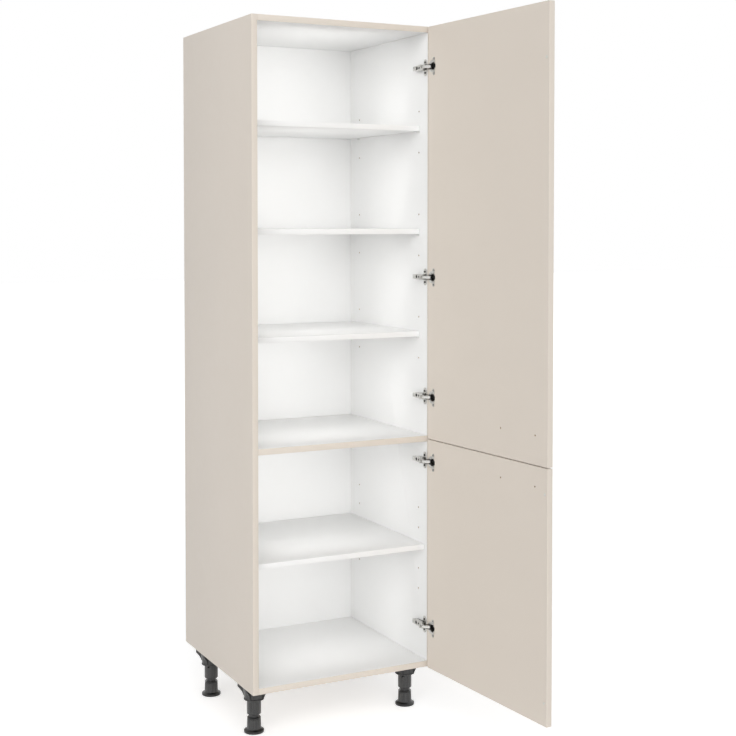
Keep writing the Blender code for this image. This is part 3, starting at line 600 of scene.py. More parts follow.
def turned(
    profile: Outline, steps: int, flutes: Callable[[Vector, float], float] | None = None
) -> Mesh:
    """Turned piece about Z.

    Args:
        profile: radius and height of its outline, in order.
        steps: number of faces round it.
        flutes: optional scale of the radius at a point and its angle, for ribs and flats.

    Returns:
        The closed mesh.
    """
    bm = bmesh.new()
    vertices = [bm.verts.new((radius, 0, height)) for radius, height in profile]
    for first, second in zip(vertices, vertices[1:]):
        bm.edges.new((first, second))
    bmesh.ops.spin(
        bm,
        geom=bm.verts[:] + bm.edges[:],
        cent=(0, 0, 0),
        axis=(0, 0, 1),
        angle=FULL_TURN,
        steps=steps,
        use_merge=True,
    )
    bmesh.ops.remove_doubles(bm, verts=bm.verts, dist=WELD)
    if flutes:
        for vertex in bm.verts:
            scale = flutes(vertex.co, math.atan2(vertex.co.y, vertex.co.x))
            bmesh.ops.scale(bm, vec=(scale, scale, 1), verts=[vertex])
    bmesh.ops.recalc_face_normals(bm, faces=bm.faces)
    return mesh_from(bm)


def moved(mesh: Mesh, matrix: Matrix) -> Mesh:
    """Copy a mesh to another place.

    Args:
        mesh: the mesh, which stays.
        matrix: what moves the copy.

    Returns:
        The copy.
    """
    copy = mesh.copy()
    copy.transform(matrix)
    return copy


def carved(base: Mesh, *steps: tuple[Mesh, Cut]) -> Mesh:
    """Mesh with joins and cuts carried out by exact Booleans.

    Args:
        base: the closed mesh to start from.
        steps: tool meshes and what each one does, in order.

    Returns:
        The finished mesh, welded.
    """
    work = placed("work", base)
    tools = []
    for mesh, cut in steps:
        tools.append(placed("tool", mesh))
        modifier = work.modifiers.new(cut.value, "BOOLEAN")
        modifier.operation = cut.value
        modifier.solver = "EXACT"
        modifier.object = tools[-1]
    bpy.context.view_layer.update()
    depsgraph = bpy.context.evaluated_depsgraph_get()
    bm = shells(bpy.data.meshes.new_from_object(work.evaluated_get(depsgraph)))
    for used in (work, *tools):
        bpy.data.objects.remove(used, do_unlink=True)
    put_in_order(bm)
    bmesh.ops.remove_doubles(bm, verts=bm.verts, dist=WELD)
    put_in_order(bm)
    return mesh_from(bm)


def softened(mesh: Mesh, width: float) -> Mesh:
    """Mesh whose real edges are rounded, as on pressed or moulded parts.

    Args:
        mesh: the closed mesh.
        width: width of the rounding.

    Returns:
        The rounded mesh.
    """
    bm = shells(mesh)
    bmesh.ops.dissolve_limit(bm, angle_limit=FLAT_ANGLE, verts=bm.verts, edges=bm.edges)
    sharp = [
        edge for edge in bm.edges if len(edge.link_faces) == 2 and edge.calc_face_angle(0.0) > EDGE_ANGLE
    ]
    round_edges(bm, sharp, width, 2)
    bmesh.ops.remove_doubles(bm, verts=bm.verts, dist=WELD)
    return mesh_from(bm)


def between(start: float, end: float, share: float) -> float:
    """Value at a share of the way from one value to another."""
    return start + (end - start) * share


def arc(centre: Point, radius: float, start: float, end: float, steps: int) -> Outline:
    """Points on an arc.

    Args:
        centre: its middle.
        radius: its radius.
        start: angle of its first point.
        end: angle of its last point.
        steps: number of stretches between its points.

    Returns:
        The points.
    """
    angles = [between(start, end, step / steps) for step in range(steps + 1)]
    return [(centre[0] + radius * math.cos(angle), centre[1] + radius * math.sin(angle)) for angle in angles]


def stadium(centre: float, half_length: float, radius: float) -> Outline:
    """Outline with round ends, long across the first coordinate, whose middle has the given one."""
    far = arc((centre, half_length), radius, 0, math.pi, ROUND_STEPS)
    return far + arc((centre, -half_length), radius, math.pi, FULL_TURN, ROUND_STEPS)


def rim(radius: float, height: float, rounding: float, side: int = 1) -> Outline:
    """Rounded rim of a turned piece, from its face to its wall.

    Args:
        radius: radius of the wall.
        height: height of the face.
        rounding: radius of the rounding.
        side: 1 where the face looks up, -1 where it looks down.

    Returns:
        Radius and height of three points.
    """
    small = rounding * RIM_SHARE
    return [
        (radius - rounding, height),
        (radius - small, height - small * side),
        (radius, height - rounding * side),
    ]


def painted(mesh: Mesh, choose: Finish | Chooser) -> Mesh:
    """Number the faces of a mesh by their finish.

    Args:
        mesh: the mesh to number. Copies and joined meshes keep the numbers.
        choose: one finish for all, or a function of a face's middle and normal that gives it.

    Returns:
        The same mesh.
    """
    for polygon in mesh.polygons:
        finish = choose if isinstance(choose, Finish) else choose(polygon.center, polygon.normal)
        polygon.material_index = FINISHES.index(finish)
    return mesh


def add_piece(
    name: str, mesh: Mesh, body: str, replaces: tuple[str, ...] = ()
) -> bpy.types.Object:
    """Make a painted mesh into a piece of the cabinet.

    Args:
        name: the piece's name.
        mesh: its painted mesh, where it lies at rest.
        body: the body that it moves with.
        replaces: CAD nodes that it stands for.

    Returns:
        The new object.
    """
    mesh.name = name
    mesh.shade_smooth()
    mesh.set_sharp_from_angle(angle=SMOOTH_ANGLE)
    numbers = [polygon.material_index for polygon in mesh.polygons]
    used = sorted(set(numbers))
    mesh.materials.clear()
    for number in used:
        mesh.materials.append(FINISHES[number].material())
    for polygon, number in zip(mesh.polygons, numbers):
        polygon.material_index = used.index(number)
    piece = placed(name, mesh)
    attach(piece, body)
    if replaces:
        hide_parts(*replaces)
    LOG.info("%s rides on %s, %d faces", name, body, len(mesh.polygons))
    return piece


@dataclass(frozen=True)
class CarcassFaces:
    """Outer faces of the carcass in the shared frame, and its board thickness."""

    left: float
    right: float
    front: float
    rear: float
    underside: float
    top: float
    board: float

    @classmethod
    def measured(cls) -> "CarcassFaces":
        """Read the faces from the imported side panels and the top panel."""
        left_low, left_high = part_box("left_side_panel")
        _, right_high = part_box("right_side_panel")
        top_low, top_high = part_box("top_panel")
        return cls(
            left_low.x, right_high.x, left_low.y, left_high.y, left_low.z, left_high.z, top_high.z - top_low.z
        )

    def inner(self, hand: Hand) -> float:
        """X of a side panel's inner face."""
        return self.left + self.board if hand is Hand.LEFT else self.right - self.board

    def outer(self, hand: Hand) -> float:
        """X of a side panel's outer face."""
        return self.left if hand is Hand.LEFT else self.right


def joint_place(name: str) -> Vector:
    """Place of a joint in plan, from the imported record."""
    joint = next(item for item in frame["joints"] if item["name"] == name)
    return Vector((joint["pos_m"][0], joint["pos_m"][1], 0))


@dataclass(frozen=True)
class EdgeBand:
    """Edge band glued on a board, which shows as thin lines in the board's faces."""

    glue: float
    thickness: float = 0.0010

    def lines(self) -> tuple[float, float]:
        """How far in from the edge its two lines lie."""
        return self.thickness, self.thickness + self.glue

    def finish(self, depth: float) -> Finish | None:
        """Choose the finish of a face near the edge.

        Args:
            depth: the face's distance from the edge.

        Returns:
            The finish of band or glue, or None where the board begins.
        """
        if depth < self.thickness:
            return CASHMERE_BAND
        return GLUE_LINE if depth < self.thickness + self.glue else None


@dataclass
class Boards:
    """Carcass boards with edge bands, shelf holes, grooves and a raw rear edge."""

    faces: CarcassFaces
    rounding: float = 0.0004
    band: EdgeBand = EdgeBand(glue=0.00018)
    groove_depth: float = 0.006
    hole_radius: float = 0.0025
    hole_depth: float = 0.012
    hole_sides: int = 24
    hole_step: float = 0.064
    front_row: float = 0.056
    rear_row: float = 0.472
    pin_radius: float = 0.0025
    pin_reach: float = 0.008
    pin_tail: float = 0.0096
    pin_collar_radius: float = 0.0039
    pin_collar: float = 0.0007
    pin_rounding: float = 0.0006
    shelves: tuple[str, ...] = ("lower_shelf", "upper_shelf_1", "upper_shelf_2", "upper_shelf_3")

    def banded(self, low: Vector, high: Vector) -> Mesh:
        """Board with rounded edges and the lines of its front edge band cut into its faces."""
        lines = [((0, low.y + inset, 0), (0, 1, 0)) for inset in self.band.lines()]
        return sliced(block(low, high, self.rounding), lines)

    def groove(self) -> tuple[float, float]:
        """Front and rear of the groove that holds the back."""
        low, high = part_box("back_sheet_upper")
        return low.y - FIT, high.y + FIT

    def pin_heights(self) -> list[float]:
        """Heights of the pin axes, under the shelves that lie on them."""
        return [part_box(shelf)[0].z - FIT - self.pin_radius for shelf in self.shelves]

    def open_holes(self) -> list[float]:
        """Heights of the shelf holes without a pin, above and below each shelf."""
        lower, *upper = self.pin_heights()
        holes = [height + side * self.hole_step for height in upper for side in (-1, 1)]
        return holes + [lower + step * self.hole_step for step in (-2, -1, 1, 2)]

    def rows(self) -> tuple[float, float]:
        """Y of the two rows of holes."""
        return self.faces.front + self.front_row, self.faces.front + self.rear_row

    def side_panel(self, hand: Hand) -> None:
        """Side panel: cashmere outside, white inside, banded in front and raw behind.

        Args:
            hand: the side of the cabinet that it closes.
        """
        faces = self.faces
        inner, outer = faces.inner(hand), faces.outer(hand)
        inward = -hand.value
        mouth = inner + inward * OVERRUN
        drills = [
            rod((inner - inward * self.hole_depth, y, z), (mouth, y, z), self.hole_radius, self.hole_sides)
            for y in self.rows()
            for z in self.open_holes() + self.pin_heights()
        ]
        front, rear = self.groove()
        left, right = sorted((inner - inward * self.groove_depth, mouth))
        groove = block((left, front, faces.underside - OVERRUN), (right, rear, faces.top + OVERRUN))
        low = Vector((min(inner, outer), faces.front, faces.underside))
        high = Vector((max(inner, outer), faces.rear, faces.top))
        mesh = carved(self.banded(low, high), (joined(drills), Cut.REMOVE), (groove, Cut.REMOVE))

        def choose(middle: Vector, normal: Vector) -> Finish:
            """Finish of a face of the side panel.

            Args:
                middle: middle of the face.
                normal: its normal.

            Returns:
                The finish.
            """
            depth = (inner - middle.x) * inward
            raw = self.rounding < depth < faces.board - self.rounding or normal.y > FACING
            foil = WHITE if normal.x * inward > LEANING else CASHMERE
            return self.band.finish(middle.y - faces.front) or (CORE if raw else foil)

        name = f"{hand.name.lower()}_side_panel"
        add_piece(f"{name}_board", painted(mesh, choose), "carcass", (name,))

    def cross_panel(self, name: str, outside: int, grooved: int) -> None:
        """Board between the side panels.

        Args:
            name: the CAD node that it stands for.
            outside: direction of its cashmere face along Z, or 0 where both faces are white.
            grooved: direction of its grooved face along Z, or 0 for none.
        """
        low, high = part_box(name)
        mesh = self.banded(low, high)
        if grooved:
            face = high.z if grooved > 0 else low.z
            front, rear = self.groove()
            floor, mouth = sorted((face - grooved * self.groove_depth, face + grooved * OVERRUN))
            groove = block((low.x - OVERRUN, front, floor), (high.x + OVERRUN, rear, mouth))
            mesh = carved(mesh, (groove, Cut.REMOVE))

        def choose(middle: Vector, normal: Vector) -> Finish:
            """Finish of a face of the cross panel.

            Args:
                middle: middle of the face.
                normal: its normal.

            Returns:
                The finish.
            """
            within = grooved and low.z + self.rounding < middle.z < high.z - self.rounding
            raw = within or max(abs(normal.x), abs(normal.y)) > FACING
            foil = CASHMERE if outside and normal.z * outside > LEANING else WHITE
            return self.band.finish(middle.y - low.y) or (CORE if raw else foil)

        add_piece(f"{name}_board", painted(mesh, choose), "carcass", (name,))

    def shelf(self, name: str) -> None:
        """Adjustable shelf, white all over, with its band in front.

        Args:
            name: the CAD node that it stands for.
        """
        low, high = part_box(name)

        def choose(middle: Vector, normal: Vector) -> Finish:
            """Finish of a face of the shelf."""
            banded = middle.y - low.y < self.band.thickness
            return WHITE_BAND if banded or abs(normal.x) > FACING or normal.y > FACING else WHITE

        mesh = painted(self.banded(low, high), choose)
        add_piece(f"{name}_board", mesh, "carcass", (name,))

    def back(self) -> None:
        """Back sheets and the plastic strip that joins them."""
        for name in ("back_sheet_lower", "back_sheet_upper"):
            sheet = painted(block(*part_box(name), FIT), WHITE)
            add_piece(f"{name}_board", sheet, "carcass", (name,))
        low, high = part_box("back_joining_strip")
        front, rear = self.groove()
        left, right = low.x - OVERRUN, high.x + OVERRUN
        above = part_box("back_sheet_upper")[0].z - FIT
        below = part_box("back_sheet_lower")[1].z + FIT
        slots = [
            block((left, front, above), (right, rear, high.z + OVERRUN)),
            block((left, front, low.z - OVERRUN), (right, rear, below)),
        ]
        strip = painted(carved(block(low, high), (joined(slots), Cut.REMOVE)), WHITE_PLASTIC)
        add_piece("back_joining_profile", strip, "carcass", ("back_joining_strip",))

    def pins(self) -> None:
        """Shelf pins with a thin collar against the side panel, four under each shelf."""
        radius, seat = self.pin_radius - FIT / 2, FIT / 3
        out, collar, small = self.pin_collar_radius, self.pin_collar, self.pin_rounding
        profile = [
            (0, self.pin_reach),
            *rim(radius, self.pin_reach, small),
            (radius, collar + small * 0.5),
            (out - small * 0.4, collar),
            (out, collar * 0.6),
            (out, seat),
            (radius, seat),
            (radius, -self.pin_tail),
            (0, -self.pin_tail),
        ]
        pin = painted(turned(profile, self.hole_sides), WHITE_PLASTIC)
        for shelf, height in zip(self.shelves, self.pin_heights()):
            meshes = [
                moved(
                    pin,
                    Matrix.Translation((self.faces.inner(hand), y, height))
                    @ Matrix.Rotation(-hand.value * QUARTER, 4, "Y"),
                )
                for hand in Hand
                for y in self.rows()
            ]
            add_piece(f"{shelf}_pins", joined(meshes), "carcass")

    def build(self) -> None:
        """All boards, shelves, the back and the pins."""
        for hand in Hand:
            self.side_panel(hand)
        self.cross_panel("bottom_panel", outside=-1, grooved=1)
        self.cross_panel("top_panel", outside=1, grooved=-1)
        self.cross_panel("middle_panel", outside=0, grooved=0)
        for shelf in self.shelves:
            self.shelf(shelf)
        self.back()
        self.pins()


@dataclass(frozen=True)
class CrossScrew:
    """Screw head with a cross recess, made at the origin with its face towards +Z."""

    radius: float
    height: float
    dome: Finish = NICKEL
    sides: int = 28
    dome_shares: tuple = ((0, 1), (0.55, 0.98), (0.82, 0.86), (0.95, 0.62), (1, 0.25), (1, 0), (0, 0))
    slot_foot_share: float = 0.136
    slot_mouth_share: float = 0.408
    slot_floor_share: float = 0.25
    slot_stretch: float = 3.1
    # Shares of radius and height within which the recess is painted with shade, and how upright a face of the
    # head's side must be to take it
    recess_shares: tuple[float, float] = (0.7, 0.85)
    side_lean: float = 0.3

    def mesh(self) -> Mesh:
        """Domed head with two crossed slots that narrow towards their floor."""
        radius, height = self.radius, self.height
        head = turned([(radius * out, height * up) for out, up in self.dome_shares], self.sides)
        foot, mouth = radius * self.slot_foot_share, radius * self.slot_mouth_share
        wedge = rod((0, 0, height * self.slot_floor_share), (0, 0, height * 2), foot, 4, mouth)
        drawn_out = Matrix.Diagonal((self.slot_stretch, 1, 1, 1)) @ Matrix.Rotation(QUARTER / 2, 4, "Z")
        slots = [
            (moved(wedge, Matrix.Rotation(angle, 4, "Z") @ drawn_out), Cut.REMOVE) for angle in (0, QUARTER)
        ]

        def choose(middle: Vector, normal: Vector) -> Finish:
            """Painted shade for the recess and for the side of the head, plate for its dome.

            Args:
                middle: middle of the face.
                normal: its normal.

            Returns:
                The finish.
            """
            # Faces in the recess and on the side of the head are painted with shade.
            reach, brim = radius * self.recess_shares[0], height * self.recess_shares[1]
            recess = math.hypot(middle.x, middle.y) < reach and middle.z < brim
            return DARK_STEEL_AND_SHADE if recess or abs(normal.z) < self.side_lean else self.dome

        return painted(carved(head, *slots), choose)


@dataclass
class DoorLeaf:
    """A door that swings on the right: slab, bores, handle holes and bumpers, at rest in its open place."""

    name: str
    faces: CarcassFaces
    rest_angle: float = math.radians(93.8)
    reveal: float = 0.0015
    gap: float = 0.002
    thickness: float = 0.018
    rounding: float = 0.0008
    band: EdgeBand = EdgeBand(glue=0.00015)
    cup_edge_distance: float = 0.0225
    cup_pivot: Vector = field(default_factory=lambda: Vector((0.01235, -0.00162, 0)))
    bore_radius: float = 0.0178
    bore_depth: float = 0.0128
    bore_sides: int = 64
    hole_radius: float = 0.0025
    hole_sides: int = 24
    handle_edge_inset: float = 0.056
    handle_spacing: float = 0.160
    handle_inset: float = 0.082
    handle_at_low_end: bool = True
    bumper_radius: float = 0.0045
    bumper_height: float = 0.0014
    bumper_shares: tuple[float, ...] = (0.35, 0.6, 0.8, 0.92)
    bumper_rim_share: float = 0.12
    bumper_sides: int = 32

    @property
    def body(self) -> str:
        """Body that the door and what is on it move with."""
        return f"{self.name}_door_body"

    @property
    def inner_face(self) -> float:
        """Y of the inner face while the door is closed."""
        return self.faces.front - self.gap

    @property
    def cup_centre(self) -> Vector:
        """Middle of the hinge cups on the inner face, in plan, while the door is closed."""
        return Vector((self.faces.right - self.reveal - self.cup_edge_distance, self.inner_face, 0))

    def opened(self) -> Matrix:
        """Matrix that takes the closed door to its place at rest."""
        pivot = self.cup_centre + self.cup_pivot
        turn = Matrix.Rotation(self.rest_angle, 4, "Z")
        return Matrix.Translation(joint_place(f"{self.name}_door_hinge")) @ turn @ Matrix.Translation(-pivot)

    def hinges(self) -> dict[str, float]:
        """Names of the hinges on this door and the heights of their middles."""
        cups = [node for node in frame["nodes"] if node.startswith(self.name) and node.endswith("_cup")]
        return {cup.removesuffix("_cup"): (sum(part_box(cup), Vector()) / 2).z for cup in sorted(cups)}

    def slab(self) -> None:
        """Door slab with banded edges, cup bores and handle holes."""
        node = f"{self.name}_door"
        left, right = self.faces.left + self.reveal, self.faces.right - self.reveal
        inner, outer = self.inner_face, self.inner_face - self.thickness
        low, high = Vector((left, outer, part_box(node)[0].z)), Vector((right, inner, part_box(node)[1].z))
        planes = []
        for inset in self.band.lines():
            for axis in (Vector((1, 0, 0)), Vector((0, 0, 1))):
                planes += [(low + axis * inset, axis), (high - axis * inset, axis)]
        mouth, floor = inner + OVERRUN, inner - self.bore_depth
        x = self.cup_centre.x
        tools = [
            rod((x, mouth, level), (x, floor, level), self.bore_radius, self.bore_sides)
            for level in self.hinges().values()
        ]
        level = low.z + self.handle_inset if self.handle_at_low_end else high.z - self.handle_inset
        far = outer - OVERRUN
        for x in (left + self.handle_edge_inset, left + self.handle_edge_inset + self.handle_spacing):
            tools.append(rod((x, mouth, level), (x, far, level), self.hole_radius, self.hole_sides))
        mesh = carved(sliced(block(low, high, self.rounding, 4), planes), (joined(tools), Cut.REMOVE))

        def choose(middle: Vector, normal: Vector) -> Finish:
            """Finish of a face of the closed slab.

            Args:
                middle: middle of the face.
                normal: its normal.

            Returns:
                The finish.
            """
            edge = min(middle.x - low.x, high.x - middle.x, middle.z - low.z, high.z - middle.z)
            inside = outer + self.rounding < middle.y < inner - self.rounding
            return self.band.finish(edge) or (CORE if inside else CASHMERE)

        slab = moved(painted(mesh, choose), self.opened())
        add_piece(f"{node}_slab", slab, self.body, (node,))

    def bumpers(self) -> None:
        """Soft domes near the free edge that meet the left side panel."""
        radius, height = self.bumper_radius, self.bumper_height
        profile = [(0, height)]
        profile += [(radius * share, height * math.sqrt(1 - share ** 3)) for share in self.bumper_shares]
        profile += [(radius, height * self.bumper_rim_share), (radius, 0), (0, 0)]
        turn = Matrix.Rotation(self.rest_angle, 4, "Z") @ Z_TO_Y
        dome = painted(moved(turned(profile, self.bumper_sides), turn), CLEAR)
        for node in sorted(frame["nodes"]):
            if node.startswith(f"{self.name}_bumper"):
                foot = sum(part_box(node), Vector()) / 2 - turn @ Vector((0, 0, height / 2))
                mesh = moved(dome, Matrix.Translation(foot))
                add_piece(f"{node}_dome", mesh, self.body, (node,))

    def build(self) -> None:
        """Slab and bumpers."""
        self.slab()
        self.bumpers()


@dataclass
class ConcealedHinge:
    """Concealed cup hinge: mounting plate, arm, outer and inner link, and cup with its flange."""

    door: DoorLeaf
    arm_sheet: float = 0.0012
    arm_web: float = 0.0015
    arm_face: float = 0.0248
    arm_rear_face: float = 0.0155
    arm_foot: float = 0.0090
    arm_rear_foot: float = 0.0060
    bend_start: float = 0.006
    bend_end: float = 0.022
    bend_steps: int = 12
    arm_rear: float = 0.067
    rim_pass: float = -0.0004
    neck_start: float = 0.0015
    neck_end: float = 0.008
    neck_shares: tuple = ((0, 0), (0.4, 0.25), (0.75, 0.85), (1, 1))
    taper_start: float = 0.040
    tip_half: float = 0.0056
    arm_half: float = 0.0080
    rear_half: float = 0.0062
    nose_margin: float = 0.0021
    tip_margin: float = 0.0012
    arm_screws: tuple[float, float] = (0.0285, 0.043)
    arm_screw_radii: tuple[float, float] = (0.0034, 0.0050)
    plate_sheet: float = 0.0020
    plate_front: float = 0.0065
    plate_rear: float = 0.060
    plate_half: float = 0.0095
    wing_centre: float = 0.0135
    wing_half: float = 0.0095
    wing_reach: float = 0.026
    wing_screw_spacing: float = 0.032
    block_front: float = 0.024
    block_rear: float = 0.0585
    block_half: float = 0.0048
    screw_radius: float = 0.0036
    cup_radius: float = 0.0175
    cup_depth: float = 0.0125
    cup_wall: float = 0.0008
    flange: float = 0.0012
    flange_rounding: float = 0.00042
    flange_radius: float = 0.0183
    ear_radius: float = 0.0055
    ear_offset: float = 0.0095
    ear_spacing: float = 0.045
    mouth_half: float = 0.0115
    link_mouth_half: float = 0.0082
    link_mouth_start: float = 0.002
    # Depth below which the cup's inside is painted dark, for the damper housing and as painted shade
    housing_shade_top: float = 0.0085
    lug_inner: float = 0.0078
    lug_half: float = 0.0021
    notch_depth: float = 0.0054
    notch_clearance: float = 0.0004
    link_notch: float = 0.0012
    link_inner: float = 0.0060
    link_sheet: float = 0.0014
    link_half: float = 0.00105
    link_eye: float = 0.0020
    link_bend_shares: tuple = ((0.433, -0.116), (0.869, -0.156))
    inner_half_width: float = 0.0040
    inner_half: float = 0.0008
    inner_eye: float = 0.00165
    inner_tip: float = 0.0010
    inner_bend_shares: tuple = ((0.375, -0.092), (0.877, -0.013))
    inner_turn_share: float = -0.501
    inner_end: Vector = field(default_factory=lambda: Vector((0.00881, -0.00087, 0)))
    pin_radius: float = 0.0009
    rounding: float = 0.00025
    link_rounding: float = 0.00015
    strap_steps: int = 6
    sides: int = 64
    small_sides: int = 24

    @property
    def corner(self) -> Vector:
        """Where the right side panel's inner face meets the carcass front, in plan."""
        return Vector((self.door.faces.inner(Hand.RIGHT), self.door.faces.front, 0))

    @property
    def outer_pivot(self) -> Vector:
        """Outer pivot on the arm, from the corner."""
        return joint_place(f"{self.door.name}_arm_pivot") - self.corner

    @property
    def inner_pivot(self) -> Vector:
        """Inner pivot on the arm, from the corner."""
        return joint_place(f"{self.door.name}_inner_pivot") - self.corner

    def widths(self, inset: float, front: float, rear: float) -> Outline:
        """Outline of the arm seen from the room.

        Args:
            inset: how far it is drawn in.
            front: Y of its front end.
            rear: Y of its rear end.

        Returns:
            The outline, for Plane.SIDE.
        """
        neck = [
            (
                between(self.neck_start, self.neck_end, along),
                between(self.tip_half, self.arm_half, aside) - inset,
            )
            for along, aside in self.neck_shares
        ]
        upper = [
            (front, self.tip_half - inset),
            *neck,
            (self.taper_start, self.arm_half - inset),
            (rear, self.rear_half - inset),
        ]
        return upper + [(y, -half) for y, half in reversed(upper)]

    def face_line(self, inset: float, front: float) -> Outline:
        """Line of the arm's face in plan, from its rear over the smooth bend to its front.

        Args:
            inset: how far it is drawn in.
            front: Y of its front end.

        Returns:
            The line.
        """
        line = [(inset - self.arm_rear_face, self.arm_rear)]
        for step in range(self.bend_steps + 1):
            share = step / self.bend_steps
            x = between(-self.arm_rear_face, -self.arm_face, share * share * (3 - 2 * share))
            line.append((x + inset, between(self.bend_end, self.bend_start, share)))
        return [*line, (inset - self.arm_face, front)]

    def spindle(self, centre: Vector, half: float, radius: float) -> Mesh:
        """Rod about a point, up and down by half its length."""
        reach = Vector((0, 0, half))
        return rod(centre - reach, centre + reach, radius, self.small_sides)

    def bore(self, centre: Vector, half: float) -> tuple[Mesh, Cut]:
        """Cut for a pivot pin, with room to turn."""
        return self.spindle(centre, half, self.pin_radius + FIT / 2), Cut.REMOVE

    def arm(self) -> Mesh:
        """Bent channel whose narrow tip reaches into the cup, with both its pivot pins."""
        inner, outer = self.inner_pivot, self.outer_pivot
        front, nose = inner.y - self.nose_margin, inner.x - self.tip_margin
        body = plate(self.widths(0, front, self.arm_rear), -self.arm_face, -self.arm_rear_foot, Plane.SIDE)
        plan = (
            arc(inner, self.tip_margin, -math.pi, -QUARTER, ROUND_STEPS // 2)
            + arc(outer, self.nose_margin, -QUARTER, 0, ROUND_STEPS // 2)
            + [(-self.arm_foot, self.neck_end), (-self.arm_rear_foot, self.bend_end)]
            + [(-self.arm_rear_foot, self.arm_rear)]
            + self.face_line(0, self.rim_pass)
            + [(nose, self.rim_pass)]
        )
        inside = self.widths(self.arm_sheet, front - OVERRUN, self.arm_rear - self.arm_sheet)
        under_face = self.face_line(self.arm_web, front - OVERRUN)
        under_face += [(0, front - OVERRUN), (0, self.arm_rear)]
        limit, shape = [plate(line, -self.wing_reach, self.wing_reach) for line in (under_face, plan)]
        channel = carved(plate(inside, -self.arm_face, 0, Plane.SIDE), (limit, Cut.KEEP_COMMON))
        start, end = -self.arm_rear_face - OVERRUN, -self.arm_rear_face + OVERRUN
        holes = [
            rod((start, y, 0), (end, y, 0), radius, self.small_sides)
            for y, radius in zip(self.arm_screws, self.arm_screw_radii)
        ]
        mesh = carved(body, (shape, Cut.KEEP_COMMON), (channel, Cut.REMOVE), (joined(holes), Cut.REMOVE))
        pins = [
            painted(self.spindle(centre, half, self.pin_radius), DARK_STEEL_AND_SHADE)
            for centre, half in (
                (outer, self.link_inner + self.link_sheet + FIT),
                (inner, self.tip_half - FIT),
            )
        ]
        return joined([painted(softened(mesh, self.rounding), NICKEL), *pins])

    def mounting_plate(self) -> Mesh:
        """Cross plate on the side panel with the block under the arm and four screws."""
        half = [(self.plate_rear, self.rear_half), (self.plate_front, self.plate_half)]
        sole = [(y, -z) for y, z in half[::-1]] + half
        ends = stadium(self.wing_centre, self.wing_reach - self.wing_half, self.wing_half)
        base, wings = [plate(line, -self.plate_sheet, -FIT, Plane.SIDE) for line in (sole, ends)]
        top = self.arm_rear_face - self.arm_web - FIT
        core = bar((-top, -self.plate_sheet / 2), (self.block_front, self.block_rear), self.block_half)
        base = softened(carved(base, (wings, Cut.JOIN), (core, Cut.JOIN)), self.rounding)
        away = Matrix.Rotation(-QUARTER, 4, "Y")
        head = CrossScrew(self.screw_radius, 2 * FIT + self.flange, LINK_STEEL).mesh()
        screws = [
            moved(head, Matrix.Translation((-self.plate_sheet, self.wing_centre, z)) @ away)
            for z in (-self.wing_screw_spacing / 2, self.wing_screw_spacing / 2)
        ]
        for y, radius in zip(self.arm_screws, self.arm_screw_radii):
            setting = CrossScrew(radius - FIT, self.arm_web + FIT, DARK_STEEL_AND_SHADE).mesh()
            screws.append(moved(setting, Matrix.Translation((-top, y, 0)) @ away))
        return joined([painted(base, NICKEL), *screws])

    def strap(self, start: Vector, end: Vector, shares: tuple, half: float) -> Outline:
        """Outline of a bent strap along a smooth line.

        Args:
            start: its first pivot.
            end: its second pivot.
            shares: its bends, as shares of its length along it and aside.
            half: half its thickness.

        Returns:
            The outline.
        """
        along = end - start
        aside = Vector((-along.y, along.x, 0))
        knots = [start, *[start + along * share + aside * offset for share, offset in shares], end]
        line = smooth_line(knots, self.strap_steps)
        left, right = [], []
        for before, point, after in zip([line[0], *line], line, [*line[1:], line[-1]]):
            direction = (after - before).normalized()
            normal = Vector((-direction.y, direction.x, 0)) * half
            left.append((point + normal)[:2])
            right.append((point - normal)[:2])
        return right + left[::-1]

    def outer_link(self) -> Mesh:
        """Two bent side plates joined by the pin that turns in the cup's lugs, at rest."""
        start = self.outer_pivot
        end = joint_place(f"{self.door.name}_door_hinge") - self.corner
        outline = self.strap(start, end, self.link_bend_shares, self.link_half)
        steps = []
        for side in (-1, 1):
            low, high = sorted((side * self.link_inner, side * (self.link_inner + self.link_sheet)))
            steps.append((plate(outline, low, high), Cut.JOIN))
            for eye in (start, end):
                ends = (eye + Vector((0, 0, low)), eye + Vector((0, 0, high)))
                steps.append((rod(*ends, self.link_eye, self.small_sides), Cut.JOIN))
        reach = self.lug_inner + self.link_sheet
        mesh = carved(self.spindle(end, reach, self.pin_radius), *steps, self.bore(start, reach))
        return painted(softened(mesh, self.link_rounding), LINK_STEEL)

    def inner_link(self) -> Mesh:
        """Bent strap between the arm's second pin and the inside of the cup, at rest."""
        start, half = self.inner_pivot, self.inner_half_width
        closed_end = self.door.cup_centre + self.inner_end - self.corner
        turn = Matrix.Rotation(self.inner_turn_share * self.door.rest_angle, 3, "Z")
        end = start + turn @ (closed_end - start)
        outline = self.strap(start, end, self.inner_bend_shares, self.inner_half)
        mesh = carved(
            plate(outline, -half, half),
            (self.spindle(start, half, self.inner_eye), Cut.JOIN),
            (self.spindle(end, half, self.inner_tip), Cut.JOIN),
            self.bore(start, 2 * half),
        )
        return painted(softened(mesh, self.link_rounding), NICKEL)

